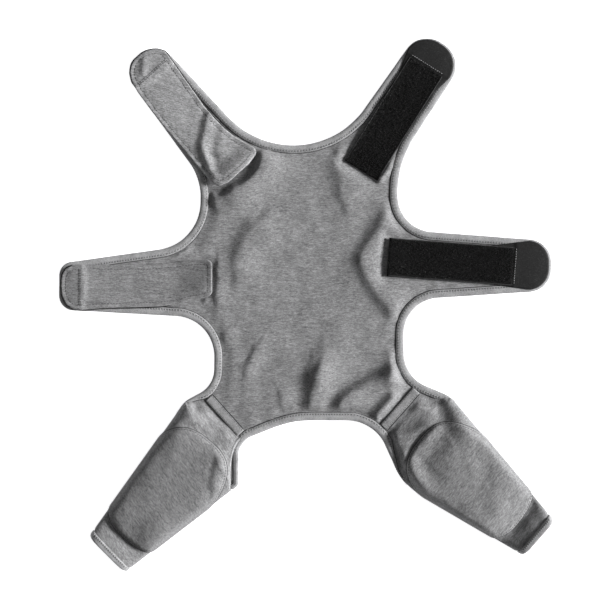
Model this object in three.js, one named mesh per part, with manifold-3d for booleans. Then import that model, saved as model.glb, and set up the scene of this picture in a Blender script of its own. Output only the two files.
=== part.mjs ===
// A dog's recovery shirt, opened out and laid flat with its fastening side up.
// Millimetres. +Z up from the surface, +Y towards the neck, +X towards the hook side.
import * as THREE from 'three';
import { mergeVertices } from 'three/addons/utils/BufferGeometryUtils.js';
import Module from 'manifold-3d';

const wasm = await Module();
wasm.setup();

// Driving sizes of the cloth and its trim
const CLOTH = 1.6;
const GAP = 0.3;
const BINDING_WIDTH = 8;
const BINDING_WALL = 1;
const SEAM_BAND_WIDTH = 9;
const SEAM_BAND_THICKNESS = 1;
const PANEL_CELL = 12;
const ARC_STEP_DEGREES = 11;

// Driving sizes of the body panel
const BODY_LENGTH = 276;
const BODY_WIDTH = 198;
const FOLD_HEIGHT = 8;
const EDGE_BAND = 22;
const EDGE_FADE = 22;

// Driving sizes of the four straps
const LEFT_NECK_STRAP_LENGTH = 134;
const LEFT_NECK_STRAP_WIDTH = 46;
const RIGHT_NECK_STRAP_LENGTH = 128;
const RIGHT_NECK_STRAP_WIDTH = 53;
const LEFT_CHEST_STRAP_LENGTH = 141;
const LEFT_CHEST_STRAP_WIDTH = 46;
const RIGHT_CHEST_STRAP_LENGTH = 150.5;
const RIGHT_CHEST_STRAP_WIDTH = 49.5;

// Driving sizes of the closures
const HOOK_TAPE_WIDTH = 38.4;
const HOOK_TAPE_THICKNESS = 1.5;
const TAPE_FOOT_WIDTH = 26;
const TAPE_END_INSET = 2.6;
const TAB_THICKNESS = 1.6;
const TAB_RISE = 7;

// Driving sizes of the sleeves and their pads
const LEFT_SLEEVE_LENGTH = 180;
const RIGHT_SLEEVE_LENGTH = 187.5;
const SLEEVE_WIDTH = 80;
const SLEEVE_CROWN = 11;
const CROWN_POWER = 4;
const FOLD_CLEARANCE = 1;
const CUFF_WIDTH = 7;
const CUFF_WALL = 1;
const PAD_LENGTH = 130;
const PAD_WIDTH = 90;
const PAD_THICKNESS = 5;
const PAD_EDGE = 1.5;
const PAD_POWER = 2.8;
const PAD_RINGS = 6;
const PAD_SPOKES = 28;

// Where a pad bends down over the sleeve's folded edge and where a yoke's crown has faded out,
// in half-widths of the sleeve from its middle
const PAD_WRAP = { level: 1.1, end: 1.12, fade: 0.3 };
const YOKE_FADE = { end: 0.62, fade: 0.45 };
// How far a cut along a seam widens past it, and how far a mouth's cut reaches to each side
const SEAM_FLARE_SHARE = 0.6;
const MOUTH_REACH = 1.5;
// How much lower a loop tab's long edges lie than its middle, as a share of its rise
const TAB_DROOP = 0.35;
const TAB_COLUMNS = [0, 0.2, 0.4, 0.6, 0.8, 1];

// Heights that follow from the sizes above
const SLOT_LIFT = BINDING_WALL + GAP;
const EDGE_INSET = BINDING_WALL + GAP;
const BINDING_HEIGHT = 2 * SLOT_LIFT + CLOTH;
const OVER_PANEL = SLOT_LIFT + CLOTH + GAP;
const OVER_BINDING = BINDING_HEIGHT + GAP;
const SLEEVE_INSET = PAD_EDGE + GAP;

const PALETTE = {
  jersey: { color: 0x8a8a8c, roughness: 0.92 },
  binding: { color: 0x96969a, roughness: 0.88 },
  pad: { color: 0x7c7c80, roughness: 0.94 },
  hook: { color: 0x0d0d0e, roughness: 0.7 },
  tape: { color: 0x202022, roughness: 0.5 },
};

const radians = (degrees) => (degrees * Math.PI) / 180;
const mix = (a, b, share) => a + (b - a) * share;
const clamp = (value) => Math.min(1, Math.max(0, value));
const smooth = (value) => {
  const t = clamp(value);
  return t * t * (3 - 2 * t);
};

// A limb's own frame: shares of its length along its axis and of its width across it.
// side is 1 where a quarter turn to the left of the axis points towards the sleeves, or -1.
function limbFrame({ root, degrees, side, length, width }) {
  const axis = new THREE.Vector2(Math.cos(radians(degrees)), Math.sin(radians(degrees)));
  const across = new THREE.Vector2(-axis.y, axis.x).multiplyScalar(side);
  const at = (alongShare, acrossShare) => root.clone()
    .addScaledVector(axis, length * alongShare)
    .addScaledVector(across, width * acrossShare);
  return { root, axis, across, length, width, at };
}

const body = limbFrame({
  root: new THREE.Vector2(), degrees: 90, side: -1, length: BODY_LENGTH, width: BODY_WIDTH,
});
const limb = (along, across, degrees, side, length, width) => limbFrame({
  root: body.at(along, across), degrees, side, length, width,
});
const frames = {
  body,
  leftNeck: limb(0.475, -0.338, 131.8, 1, LEFT_NECK_STRAP_LENGTH, LEFT_NECK_STRAP_WIDTH),
  rightNeck: limb(0.482, 0.369, 55.6, -1, RIGHT_NECK_STRAP_LENGTH, RIGHT_NECK_STRAP_WIDTH),
  leftChest: limb(-0.004, -0.5, 180, 1, LEFT_CHEST_STRAP_LENGTH, LEFT_CHEST_STRAP_WIDTH),
  rightChest: limb(0.069, 0.515, -0.7, -1, RIGHT_CHEST_STRAP_LENGTH, RIGHT_CHEST_STRAP_WIDTH),
  leftSleeve: limb(-0.478, -0.376, 230.4, 1, LEFT_SLEEVE_LENGTH, SLEEVE_WIDTH),
  rightSleeve: limb(-0.458, 0.508, -42.8, -1, RIGHT_SLEEVE_LENGTH, SLEEVE_WIDTH),
};

// Corners of the outline, clockwise from the left neck strap's tip. along, across and round
// are shares of the frame's length, width and width; round is the radius of the corner.
const OUTLINE = [
  { name: 'left_neck_tip_outer', frame: 'leftNeck', along: 1, across: 0.597, round: 0.48 },
  { name: 'left_neck_tip', frame: 'leftNeck', along: 1, across: 0.096, round: 0 },
  { name: 'left_neck_tip_inner', frame: 'leftNeck', along: 1, across: -0.405, round: 0.48 },
  { name: 'neckline_left', frame: 'body', along: 0.5, across: -0.225, round: 0.455 },
  { name: 'neckline_right', frame: 'body', along: 0.5, across: 0.2, round: 0.43 },
  { name: 'right_neck_tip_inner', frame: 'rightNeck', along: 1, across: -0.531, round: 0.475 },
  { name: 'right_neck_tip', frame: 'rightNeck', along: 1, across: -0.025, round: 0 },
  { name: 'right_neck_tip_outer', frame: 'rightNeck', along: 1, across: 0.48, round: 0.475 },
  { name: 'right_armhole_top', frame: 'body', along: 0.438, across: 0.5, round: 0.53 },
  { name: 'right_armhole_low', frame: 'body', along: 0.195, across: 0.5, round: 0.182 },
  { name: 'right_chest_tip_top', frame: 'rightChest', along: 1, across: -0.502, round: 0.465 },
  { name: 'right_chest_tip', frame: 'rightChest', along: 1, across: 0, round: 0 },
  { name: 'right_chest_tip_low', frame: 'rightChest', along: 1, across: 0.498, round: 0.465 },
  { name: 'right_waist_top', frame: 'body', along: -0.062, across: 0.53, round: 0.182 },
  { name: 'right_waist_low', frame: 'body', along: -0.339, across: 0.53, round: 0.182 },
  { name: 'right_waist_end', frame: 'rightSleeve', along: 0.084, across: -0.497, round: 0 },
  { name: 'right_sleeve_outer', frame: 'rightSleeve', along: 0.157, across: -0.558, round: 0.44 },
  { name: 'right_cuff_outer', frame: 'rightSleeve', along: 1, across: -0.304, round: 0.037 },
  { name: 'right_cuff_inner', frame: 'rightSleeve', along: 1.007, across: 0.294, round: 0.05 },
  { name: 'right_sleeve_inner', frame: 'rightSleeve', along: 0.283, across: 0.671, round: 0.8 },
  { name: 'right_opening', frame: 'rightSleeve', along: 0.15, across: 0.527, round: 0 },
  { name: 'hem_right', frame: 'body', along: -0.498, across: 0.379, round: 0.212 },
  { name: 'hem_left', frame: 'body', along: -0.498, across: -0.035, round: 0.505 },
  { name: 'hem_left_low', frame: 'body', along: -0.574, across: -0.303, round: 0.162 },
  { name: 'left_opening', frame: 'leftSleeve', along: 0.12, across: 0.456, round: 0 },
  { name: 'left_sleeve_inner', frame: 'leftSleeve', along: 0.252, across: 0.697, round: 0.075 },
  { name: 'left_cuff_inner', frame: 'leftSleeve', along: 1.021, across: 0.302, round: 0.037 },
  { name: 'left_cuff_outer', frame: 'leftSleeve', along: 0.994, across: -0.345, round: 0.05 },
  { name: 'left_sleeve_outer', frame: 'leftSleeve', along: 0.083, across: -0.494, round: 0.312 },
  { name: 'left_waist_end', frame: 'leftSleeve', along: 0.022, across: -0.439, round: 0 },
  { name: 'left_waist_low', frame: 'body', along: -0.372, across: -0.429, round: 0.141 },
  { name: 'left_waist_top', frame: 'body', along: -0.127, across: -0.429, round: 0.202 },
  { name: 'left_chest_tip_low', frame: 'leftChest', along: 1, across: 0.554, round: 0.326 },
  { name: 'left_chest_tip', frame: 'leftChest', along: 1, across: 0.052, round: 0 },
  { name: 'left_chest_tip_top', frame: 'leftChest', along: 1, across: -0.45, round: 0.304 },
  { name: 'left_armhole_low', frame: 'body', along: 0.143, across: -0.5, round: 0.242 },
  { name: 'left_armhole_top', frame: 'body', along: 0.38, across: -0.497, round: 0.293 },
];

// Folds of the body panel: a ridge from one end to the other, in shares of the body's length
// and width, with its half-breadth as a share of the width and its height as one of FOLD_HEIGHT.
const FOLDS = [
  { from: [0.3, 0.42], to: [0.2, 0.34], breadth: 0.07, height: 0.7 },
  { from: [0.2, 0.34], to: [0.06, 0.3], breadth: 0.08, height: 1 },
  { from: [0.06, 0.3], to: [-0.1, 0.44], breadth: 0.08, height: 0.8 },
  { from: [-0.22, 0.12], to: [-0.48, 0.08], breadth: 0.06, height: 0.9 },
  { from: [-0.3, 0.45], to: [-0.4, 0.22], breadth: 0.06, height: 0.8 },
  { from: [-0.2, -0.22], to: [-0.34, -0.3], breadth: 0.06, height: 0.6 },
  { from: [0.2, -0.2], to: [0.06, -0.32], breadth: 0.07, height: 0.6 },
  { from: [0.44, 0.16], to: [0.28, 0.22], breadth: 0.06, height: 0.5 },
];

// Seam between each sleeve and the panel: through the limb's root, turned from straight across
const SEAM_TILT_DEGREES = { left: -8.6, right: 1.4 };

// Sections of a sleeve from its cuff to its upper opening: along is a share of the sleeve,
// crown a share of SLEEVE_CROWN, and lift the share of a cuff's wall that it stands clear by.
const SLEEVE_SECTIONS = [
  { along: 0, crown: 0.45, lift: 1 },
  { along: 0.09, crown: 0.5, lift: 1 },
  { along: 0.18, crown: 0.8, lift: 0.3 },
  { along: 0.3, crown: 0.95, lift: 0 },
  { along: 0.45, crown: 1, lift: 0 },
  { along: 0.6, crown: 1, lift: 0 },
  { along: 0.75, crown: 0.98, lift: 0 },
  { along: 0.88, crown: 0.9, lift: 0 },
  { along: 1, crown: 0.8, lift: 0 },
];
// Sections of its front from that opening up to the seam
const YOKE_SECTIONS = [
  { along: 0.12, crown: 0.72 },
  { along: 0.3, crown: 0.48 },
  { along: 0.48, crown: 0.24 },
  { along: 0.64, crown: 0.05 },
  { along: 0.8, crown: 0 },
  { along: 1, crown: 0 },
];
const SLEEVE_COLUMNS = [-1, -0.8, -0.55, -0.28, 0, 0.28, 0.55, 0.8, 1];

// Elbow pads: centre and turn in the sleeve's frame
const PADS = {
  left: { along: 0.535, across: 0.05, degrees: 0 },
  right: { along: 0.55, across: 0.09, degrees: 6 },
};

// Hook tapes: middle of the inner end and of the sewn outer end, in the strap's frame
const TAPES = {
  neck: { frame: 'rightNeck', inner: [-0.181, 0.047], outer: [0.779, -0.046] },
  chest: { frame: 'rightChest', inner: [-0.087, -0.138], outer: [0.746, 0.023] },
};

// Loop tabs from the strap's tip to the free end: both edges as shares of the strap's width,
// and how far the tab stands off the strap as a share of TAB_RISE
const NECK_TAB = [
  { along: 0.925, outer: 0.22, inner: -0.12, rise: 0 },
  { along: 0.89, outer: 0.38, inner: -0.23, rise: 0 },
  { along: 0.82, outer: 0.44, inner: -0.26, rise: 0 },
  { along: 0.6, outer: 0.5, inner: -0.235, rise: 0 },
  { along: 0.4, outer: 0.55, inner: -0.215, rise: 0.12 },
  { along: 0.2, outer: 0.59, inner: -0.24, rise: 0.1 },
  { along: 0.05, outer: 0.62, inner: -0.32, rise: 0.3 },
  { along: -0.06, outer: 0.65, inner: -0.39, rise: 0.7 },
  { along: -0.135, outer: 0.68, inner: -0.44, rise: 1 },
];
const CHEST_TAB = [
  { along: 0.935, outer: 0.22, inner: -0.13, rise: 0 },
  { along: 0.92, outer: 0.33, inner: -0.24, rise: 0 },
  { along: 0.84, outer: 0.4, inner: -0.28, rise: 0 },
  { along: 0.6, outer: 0.42, inner: -0.31, rise: 0 },
  { along: 0.35, outer: 0.42, inner: -0.36, rise: 0 },
  { along: 0.15, outer: 0.4, inner: -0.42, rise: 0.15 },
  { along: 0, outer: 0.31, inner: -0.47, rise: 0.5 },
  { along: -0.085, outer: 0.28, inner: -0.49, rise: 1 },
  { along: -0.1, outer: 0.2, inner: -0.47, rise: 1.05 },
];

// Outline with round corners, as samples that hold a point, the way inwards and the corner
function roundedLoop(corners) {
  const count = corners.length;
  const heading = corners.map((corner, i) => corners[(i + 1) % count].point.clone()
    .sub(corner.point).normalize());
  const reach = corners.map((corner, i) => {
    const before = heading[(i + count - 1) % count];
    const turn = Math.atan2(before.cross(heading[i]), before.dot(heading[i]));
    return { turn, tangent: corner.radius * Math.tan(Math.abs(turn) / 2) };
  });
  const room = (i, j) => {
    const wanted = reach[i].tangent + reach[j].tangent;
    return wanted > 0 ? corners[i].point.distanceTo(corners[j].point) / wanted : 1;
  };
  const samples = [];
  corners.forEach((corner, i) => {
    const previous = (i + count - 1) % count;
    const scale = Math.min(1, room(i, (i + 1) % count), room(previous, i));
    const { turn } = reach[i];
    const tangent = reach[i].tangent * scale;
    const radius = corner.radius * scale;
    const before = heading[previous];
    const inward = new THREE.Vector2(before.y, -before.x);
    const start = corner.point.clone().addScaledVector(before, -tangent);
    const bend = Math.sign(turn);
    const centre = start.clone().addScaledVector(inward, -bend * radius);
    const round = radius > 0 && Math.abs(turn) > radians(1);
    const steps = round ? Math.max(2, Math.ceil(Math.abs(turn) / radians(ARC_STEP_DEGREES))) : 0;
    for (let k = 0; k <= steps; k += 1) {
      const angle = round ? (turn * k) / steps : turn / 2;
      const normal = inward.clone().rotateAround(new THREE.Vector2(), angle);
      const point = round
        ? centre.clone().addScaledVector(normal, bend * radius)
        : corner.point.clone();
      samples.push({ point, inward: normal, name: corner.name });
    }
  });
  return samples;
}

const corners = OUTLINE.map(({ name, frame, along, across, round }) => ({
  name,
  point: frames[frame].at(along, across),
  radius: frames[frame].width * round,
}));
const outline = roundedLoop(corners);
const cornerPoint = (name) => corners.find((corner) => corner.name === name).point;
const inset = (samples, distance) => samples
  .map(({ point, inward }) => point.clone().addScaledVector(inward, distance));

// The outline's samples from the last one at one corner to the first one at another
function stretch(fromName, toName) {
  const from = outline.findLastIndex((sample) => sample.name === fromName);
  const result = [outline[from]];
  for (let i = (from + 1) % outline.length; outline[i].name !== toName;) {
    result.push(outline[i]);
    i = (i + 1) % outline.length;
  }
  result.push(outline.find((sample) => sample.name === toName));
  return result;
}

// Closed body from a list of vertices and faces, with its faces turned outwards
function solidGeometry(vertices, faces) {
  const volume = faces.reduce((sum, [a, b, c]) => {
    const [p, q, r] = [vertices[a], vertices[b], vertices[c]].map((v) => new THREE.Vector3(...v));
    return sum + p.dot(q.cross(r));
  }, 0);
  const outwards = volume > 0 ? faces : faces.map(([a, b, c]) => [a, c, b]);
  const geometry = new THREE.BufferGeometry();
  geometry.setAttribute('position', new THREE.Float32BufferAttribute(vertices.flat(), 3));
  geometry.setIndex(outwards.flat());
  return geometry;
}

// Closed sheet between two surfaces that share the same faces, with rims along its edges
function sheetGeometry(top, bottom, faces) {
  const count = top.length;
  const edges = new Map();
  faces.forEach((face) => face.forEach((a, i) => {
    const b = face[(i + 1) % 3];
    edges.set(`${a}_${b}`, [a, b]);
  }));
  const rims = [];
  edges.forEach(([a, b]) => {
    if (edges.has(`${b}_${a}`)) return;
    rims.push([b, a, count + a], [b, count + a, count + b]);
  });
  const underside = faces.map(([a, b, c]) => [count + a, count + c, count + b]);
  return solidGeometry([...top, ...bottom], [...faces, ...underside, ...rims]);
}

// Two triangles for each cell of a grid whose rows hold vertex numbers
function gridFaces(rows) {
  const faces = [];
  for (let j = 0; j + 1 < rows.length; j += 1) {
    for (let i = 0; i + 1 < rows[j].length; i += 1) {
      const [a, b] = [rows[j][i], rows[j][i + 1]];
      const [c, d] = [rows[j + 1][i + 1], rows[j + 1][i]];
      faces.push([a, b, c], [a, c, d]);
    }
  }
  return faces;
}

// Closed sweep of a flat section: sections are lists of points in the same order
function sweepGeometry(sections, profile) {
  const size = profile.length;
  const vertices = sections.flat();
  const faces = [];
  for (let j = 0; j + 1 < sections.length; j += 1) {
    for (let i = 0; i < size; i += 1) {
      const next = (i + 1) % size;
      const [a, b] = [j * size + i, j * size + next];
      const [c, d] = [a + size, b + size];
      faces.push([a, b, d], [a, d, c]);
    }
  }
  const caps = THREE.ShapeUtils.triangulateShape(profile, []);
  const last = (sections.length - 1) * size;
  caps.forEach(([a, b, c]) => {
    faces.push([a, c, b], [last + a, last + b, last + c]);
  });
  return solidGeometry(vertices, faces);
}

// Solids for cutting and joining
function toSolid(source) {
  const geometry = source.clone();
  geometry.deleteAttribute('normal');
  geometry.deleteAttribute('uv');
  const merged = mergeVertices(geometry, 1e-4);
  return new wasm.Manifold(new wasm.Mesh({
    numProp: 3,
    vertProperties: new Float32Array(merged.attributes.position.array),
    triVerts: new Uint32Array(merged.index.array),
  }));
}

function fromSolid(solid) {
  const { vertProperties, triVerts } = solid.getMesh();
  const geometry = new THREE.BufferGeometry();
  geometry.setAttribute('position', new THREE.BufferAttribute(new Float32Array(vertProperties), 3));
  geometry.setIndex(new THREE.BufferAttribute(new Uint32Array(triVerts), 1));
  return geometry;
}

function prism(points, bottom, top) {
  const geometry = new THREE.ExtrudeGeometry(new THREE.Shape(points), {
    depth: top - bottom, bevelEnabled: false,
  });
  geometry.translate(0, 0, bottom);
  return geometry;
}

const group = new THREE.Group();
group.name = 'dog_recovery_shirt';

function addMesh(name, geometry, finish) {
  geometry.computeVertexNormals();
  const material = new THREE.MeshStandardMaterial({ ...PALETTE[finish], metalness: 0 });
  const mesh = new THREE.Mesh(geometry, material);
  mesh.name = name;
  group.add(mesh);
  return mesh;
}

// Straight seam of a sleeve, met with the inset outline at both ends
function seamOf(side) {
  const frame = frames[`${side}Sleeve`];
  const along = frame.across.clone()
    .rotateAround(new THREE.Vector2(), radians(SEAM_TILT_DEGREES[side]));
  const rim = inset(outline, EDGE_INSET);
  const meets = rim.flatMap((point, i) => {
    const next = rim[(i + 1) % rim.length];
    const edge = next.clone().sub(point);
    const offset = point.clone().sub(frame.root);
    const scale = along.cross(edge);
    const distance = offset.cross(edge) / scale;
    const share = offset.cross(along) / scale;
    return share >= 0 && share < 1 && Math.abs(distance) < frame.width ? [distance] : [];
  });
  const outer = Math.max(...meets.filter((distance) => distance < 0));
  const inner = Math.min(...meets.filter((distance) => distance > 0));
  const at = (distance) => frame.root.clone().addScaledVector(along, distance);
  const outwards = new THREE.Vector2(along.y, -along.x);
  if (outwards.dot(frame.axis) < 0) outwards.negate();
  return { frame, along, outwards, outer, inner, at };
}
const seams = { left: seamOf('left'), right: seamOf('right') };

// How high the panel's underside stands over the surface at a point
function panelFloor(point, rim) {
  let edge = Infinity;
  const nearest = new THREE.Vector2();
  rim.forEach((start, i) => {
    nearestOnLine(point, start, rim[(i + 1) % rim.length], nearest);
    edge = Math.min(edge, point.distanceTo(nearest));
  });
  const inside = smooth((edge - EDGE_BAND) / EDGE_FADE);
  const folds = FOLDS.map(({ from, to, breadth, height }) => {
    nearestOnLine(point, body.at(...from), body.at(...to), nearest);
    const away = point.distanceTo(nearest) / (breadth * body.width);
    return height * FOLD_HEIGHT * Math.exp(-away * away);
  });
  return mix(SLOT_LIFT, Math.max(...folds), inside);
}

function nearestOnLine(point, start, end, target) {
  const edge = end.clone().sub(start);
  const share = clamp(point.clone().sub(start).dot(edge) / edge.lengthSq());
  return target.copy(start).addScaledVector(edge, share);
}

// Rumpled sheet over the whole shirt, cut to the outline and along both sleeve seams
function bodyPanel() {
  const loop = inset(outline, EDGE_INSET);
  const margin = PANEL_CELL / 2;
  const box = new THREE.Box2().setFromPoints(
    loop.filter((point, i) => !/sleeve|cuff/.test(outline[i].name)),
  ).expandByScalar(margin);
  const size = box.getSize(new THREE.Vector2());
  const columns = Math.round(size.x / PANEL_CELL);
  const rowCount = Math.round(size.y / PANEL_CELL);
  const rim = [
    ...inset(stretch('left_waist_low', 'right_waist_low'), EDGE_INSET),
    seams.right.at(seams.right.outer), seams.right.at(seams.right.inner),
    ...inset(stretch('hem_right', 'hem_left_low'), EDGE_INSET),
    seams.left.at(seams.left.inner), seams.left.at(seams.left.outer),
  ];
  const top = [];
  const bottom = [];
  const rows = [];
  for (let j = 0; j <= rowCount; j += 1) {
    const row = [];
    for (let i = 0; i <= columns; i += 1) {
      const point = new THREE.Vector2(
        mix(box.min.x, box.max.x, i / columns),
        mix(box.min.y, box.max.y, j / rowCount),
      );
      const floor = panelFloor(point, rim);
      row.push(top.length);
      top.push([point.x, point.y, floor + CLOTH]);
      bottom.push([point.x, point.y, floor]);
    }
    rows.push(row);
  }
  const height = FOLD_HEIGHT + 2 * CLOTH;
  let solid = toSolid(sheetGeometry(top, bottom, gridFaces(rows)));
  solid = solid.intersect(toSolid(prism(loop, -height, 2 * height)));
  Object.values(seams).forEach(({ frame, outwards, outer, inner, at }) => {
    const past = BINDING_WIDTH;
    const flare = SEAM_FLARE_SHARE * frame.width;
    const corner = (distance, away) => at(distance).addScaledVector(outwards, away);
    const cut = [
      corner(outer - past, -GAP / 2), corner(inner + past, -GAP / 2),
      corner(inner + past + flare, flare), corner(inner + past + flare, 2 * frame.length),
      corner(outer - past - flare, 2 * frame.length), corner(outer - past - flare, flare),
    ];
    solid = solid.subtract(toSolid(prism(cut, -height, 2 * height)));
  });
  return fromSolid(solid);
}

// Folded binding with the cloth's edge in its slot
const BINDING_PROFILE = [
  [0, 0], [BINDING_WIDTH, 0], [BINDING_WIDTH, BINDING_WALL], [BINDING_WALL, BINDING_WALL],
  [BINDING_WALL, BINDING_HEIGHT - BINDING_WALL], [BINDING_WIDTH, BINDING_HEIGHT - BINDING_WALL],
  [BINDING_WIDTH, BINDING_HEIGHT], [0, BINDING_HEIGHT],
].map(([x, y]) => new THREE.Vector2(x, y));

function bindingGeometry(samples) {
  const trimmed = samples.map(({ point, inward }) => ({ point: point.clone(), inward }));
  const trim = (end, next) => {
    const way = next.point.clone().sub(end.point).normalize();
    end.point.addScaledVector(way, GAP / 2);
  };
  trim(trimmed[0], trimmed[1]);
  trim(trimmed.at(-1), trimmed.at(-2));
  const sections = trimmed.map(({ point, inward }) => BINDING_PROFILE.map((corner) => [
    point.x + inward.x * corner.x, point.y + inward.y * corner.x, corner.y,
  ]));
  return sweepGeometry(sections, BINDING_PROFILE);
}

const BINDINGS = {
  neck_binding: ['left_neck_tip', 'right_neck_tip'],
  right_armhole_binding: ['right_neck_tip', 'right_chest_tip'],
  right_waist_binding: ['right_chest_tip', 'right_waist_end'],
  hem_binding: ['right_opening', 'left_opening'],
  left_waist_binding: ['left_waist_end', 'left_chest_tip'],
  left_armhole_binding: ['left_chest_tip', 'left_neck_tip'],
};

// One section table read at any share
function readSections(table, share, column) {
  const after = table.findIndex(({ along }) => along >= share);
  if (after <= 0) return table.at(after)[column];
  const [a, b] = [table[after - 1], table[after]];
  return mix(a[column], b[column], (share - a.along) / (b.along - a.along));
}

// Outer surface of a sleeve's tube: heights over the surface and the place on the plan
function sleeveShape(side) {
  const ends = {
    outer: [cornerPoint(`${side}_cuff_outer`), cornerPoint(`${side}_sleeve_outer`)],
    inner: [cornerPoint(`${side}_cuff_inner`), cornerPoint(`${side}_sleeve_inner`)],
  };
  const plan = (along, column, grow) => {
    const outer = ends.outer[0].clone().lerp(ends.outer[1], along);
    const inner = ends.inner[0].clone().lerp(ends.inner[1], along);
    const half = outer.distanceTo(inner) / 2;
    const held = (half - SLEEVE_INSET + grow) / half;
    return outer.lerp(inner, (1 + column * held) / 2);
  };
  const underside = (along) => readSections(SLEEVE_SECTIONS, along, 'lift') * (CUFF_WALL + GAP);
  const topside = (along, column) => {
    const crown = readSections(SLEEVE_SECTIONS, along, 'crown') * SLEEVE_CROWN;
    const hollow = FOLD_CLEARANCE + (crown - FOLD_CLEARANCE) * (1 - column ** CROWN_POWER);
    return underside(along) + hollow + 2 * CLOTH;
  };
  return { plan, underside, topside };
}

// Hollow leg sleeve: a flattened tube whose front runs on as a yoke to the seam
function sleeveGeometry(side) {
  const { plan, underside, topside } = sleeveShape(side);
  const outside = [];
  const inside = [];
  const add = (plane, z, planeInside, zInside) => {
    outside.push([plane.x, plane.y, z]);
    inside.push([planeInside.x, planeInside.y, zInside]);
    return outside.length - 1;
  };
  const thin = (column) => (Math.abs(column) === 1 ? -CLOTH : 0);
  const tube = SLEEVE_SECTIONS.map(({ along }) => {
    const front = SLEEVE_COLUMNS.map((column) => {
      const z = topside(along, column);
      return add(plan(along, column, 0), z, plan(along, column, thin(column)), z - CLOTH);
    });
    const back = SLEEVE_COLUMNS.map((column) => {
      const z = underside(along);
      return add(plan(along, column, 0), z, plan(along, column, thin(column)), z + CLOTH);
    });
    return [...front, ...back.reverse(), front[0]];
  });
  const seam = seams[side];
  const outerEdge = edgeTo(seam, cornerPoint(`${side}_sleeve_outer`), seam.outer);
  const innerEdge = edgeTo(seam, cornerPoint(`${side}_sleeve_inner`), seam.inner);
  const last = tube.at(-1).slice(0, SLEEVE_COLUMNS.length);
  const yoke = YOKE_SECTIONS.map(({ along, crown }) => SLEEVE_COLUMNS.map((column, i) => {
    const from = new THREE.Vector2(outside[last[i]][0], outside[last[i]][1]);
    const share = (column + 1) / 2;
    const to = seam.at(mix(seam.outer, seam.inner, share)).addScaledVector(seam.outwards, GAP / 2);
    const point = from.lerp(to, along);
    const ends = [last[0], last.at(-1)].map((index, k) => new THREE.Vector2(...outside[index])
      .lerp(seam.at(k ? seam.inner : seam.outer).addScaledVector(seam.outwards, GAP / 2), along));
    const drift = [
      pointAlong(outerEdge, along).sub(ends[0]).multiplyScalar((1 - share) ** 2),
      pointAlong(innerEdge, along).sub(ends[1]).multiplyScalar(share ** 2),
    ];
    point.add(drift[0]).add(drift[1]);
    const faded = smooth((YOKE_FADE.end - Math.abs(column)) / YOKE_FADE.fade);
    const raised = faded * crown * SLEEVE_CROWN;
    const z = SLOT_LIFT + raised;
    return add(point, z + CLOTH, point, z);
  }));
  return sheetGeometry(outside, inside, [...gridFaces(tube), ...gridFaces([last, ...yoke])]);
}

// The inset outline from a sleeve's corner to its seam, for the yoke's bound edges
function edgeTo(seam, corner, distance) {
  const end = seam.at(distance).addScaledVector(seam.outwards, GAP / 2);
  const away = outline.map(({ point }) => point.distanceTo(corner));
  const start = away.indexOf(Math.min(...away));
  const step = Math.sign(outline[start].point.distanceTo(end)
    - outline[(start + 1) % outline.length].point.distanceTo(end)) || 1;
  const points = [];
  for (let k = 0; k < outline.length; k += 1) {
    const { point, inward } = outline[(start + k * step + outline.length) % outline.length];
    const rim = point.clone().addScaledVector(inward, EDGE_INSET + 2 * GAP);
    if (rim.clone().sub(seam.frame.root).dot(seam.outwards) < GAP) break;
    points.push(rim);
  }
  points.push(end);
  return points;
}

function pointAlong(points, share) {
  const lengths = points.slice(1).map((point, i) => point.distanceTo(points[i]));
  let left = share * lengths.reduce((sum, length) => sum + length, 0);
  const i = lengths.findIndex((length) => {
    if (left <= length) return true;
    left -= length;
    return false;
  });
  if (i < 0) return points.at(-1).clone();
  return points[i].clone().lerp(points[i + 1], left / lengths[i]);
}

// The sleeve's outer form as a filled solid, grown by a clearance
function sleeveFill(side, grow) {
  const { plan, underside, topside } = sleeveShape(side);
  const top = [];
  const bottom = [];
  const rows = SLEEVE_SECTIONS.map(({ along }) => SLEEVE_COLUMNS.map((column) => {
    const point = plan(along, column, Math.abs(column) === 1 ? grow : 0);
    top.push([point.x, point.y, topside(along, column) + grow]);
    bottom.push([point.x, point.y, underside(along) - grow - CLOTH]);
    return top.length - 1;
  }));
  return sheetGeometry(top, bottom, gridFaces(rows));
}

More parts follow.
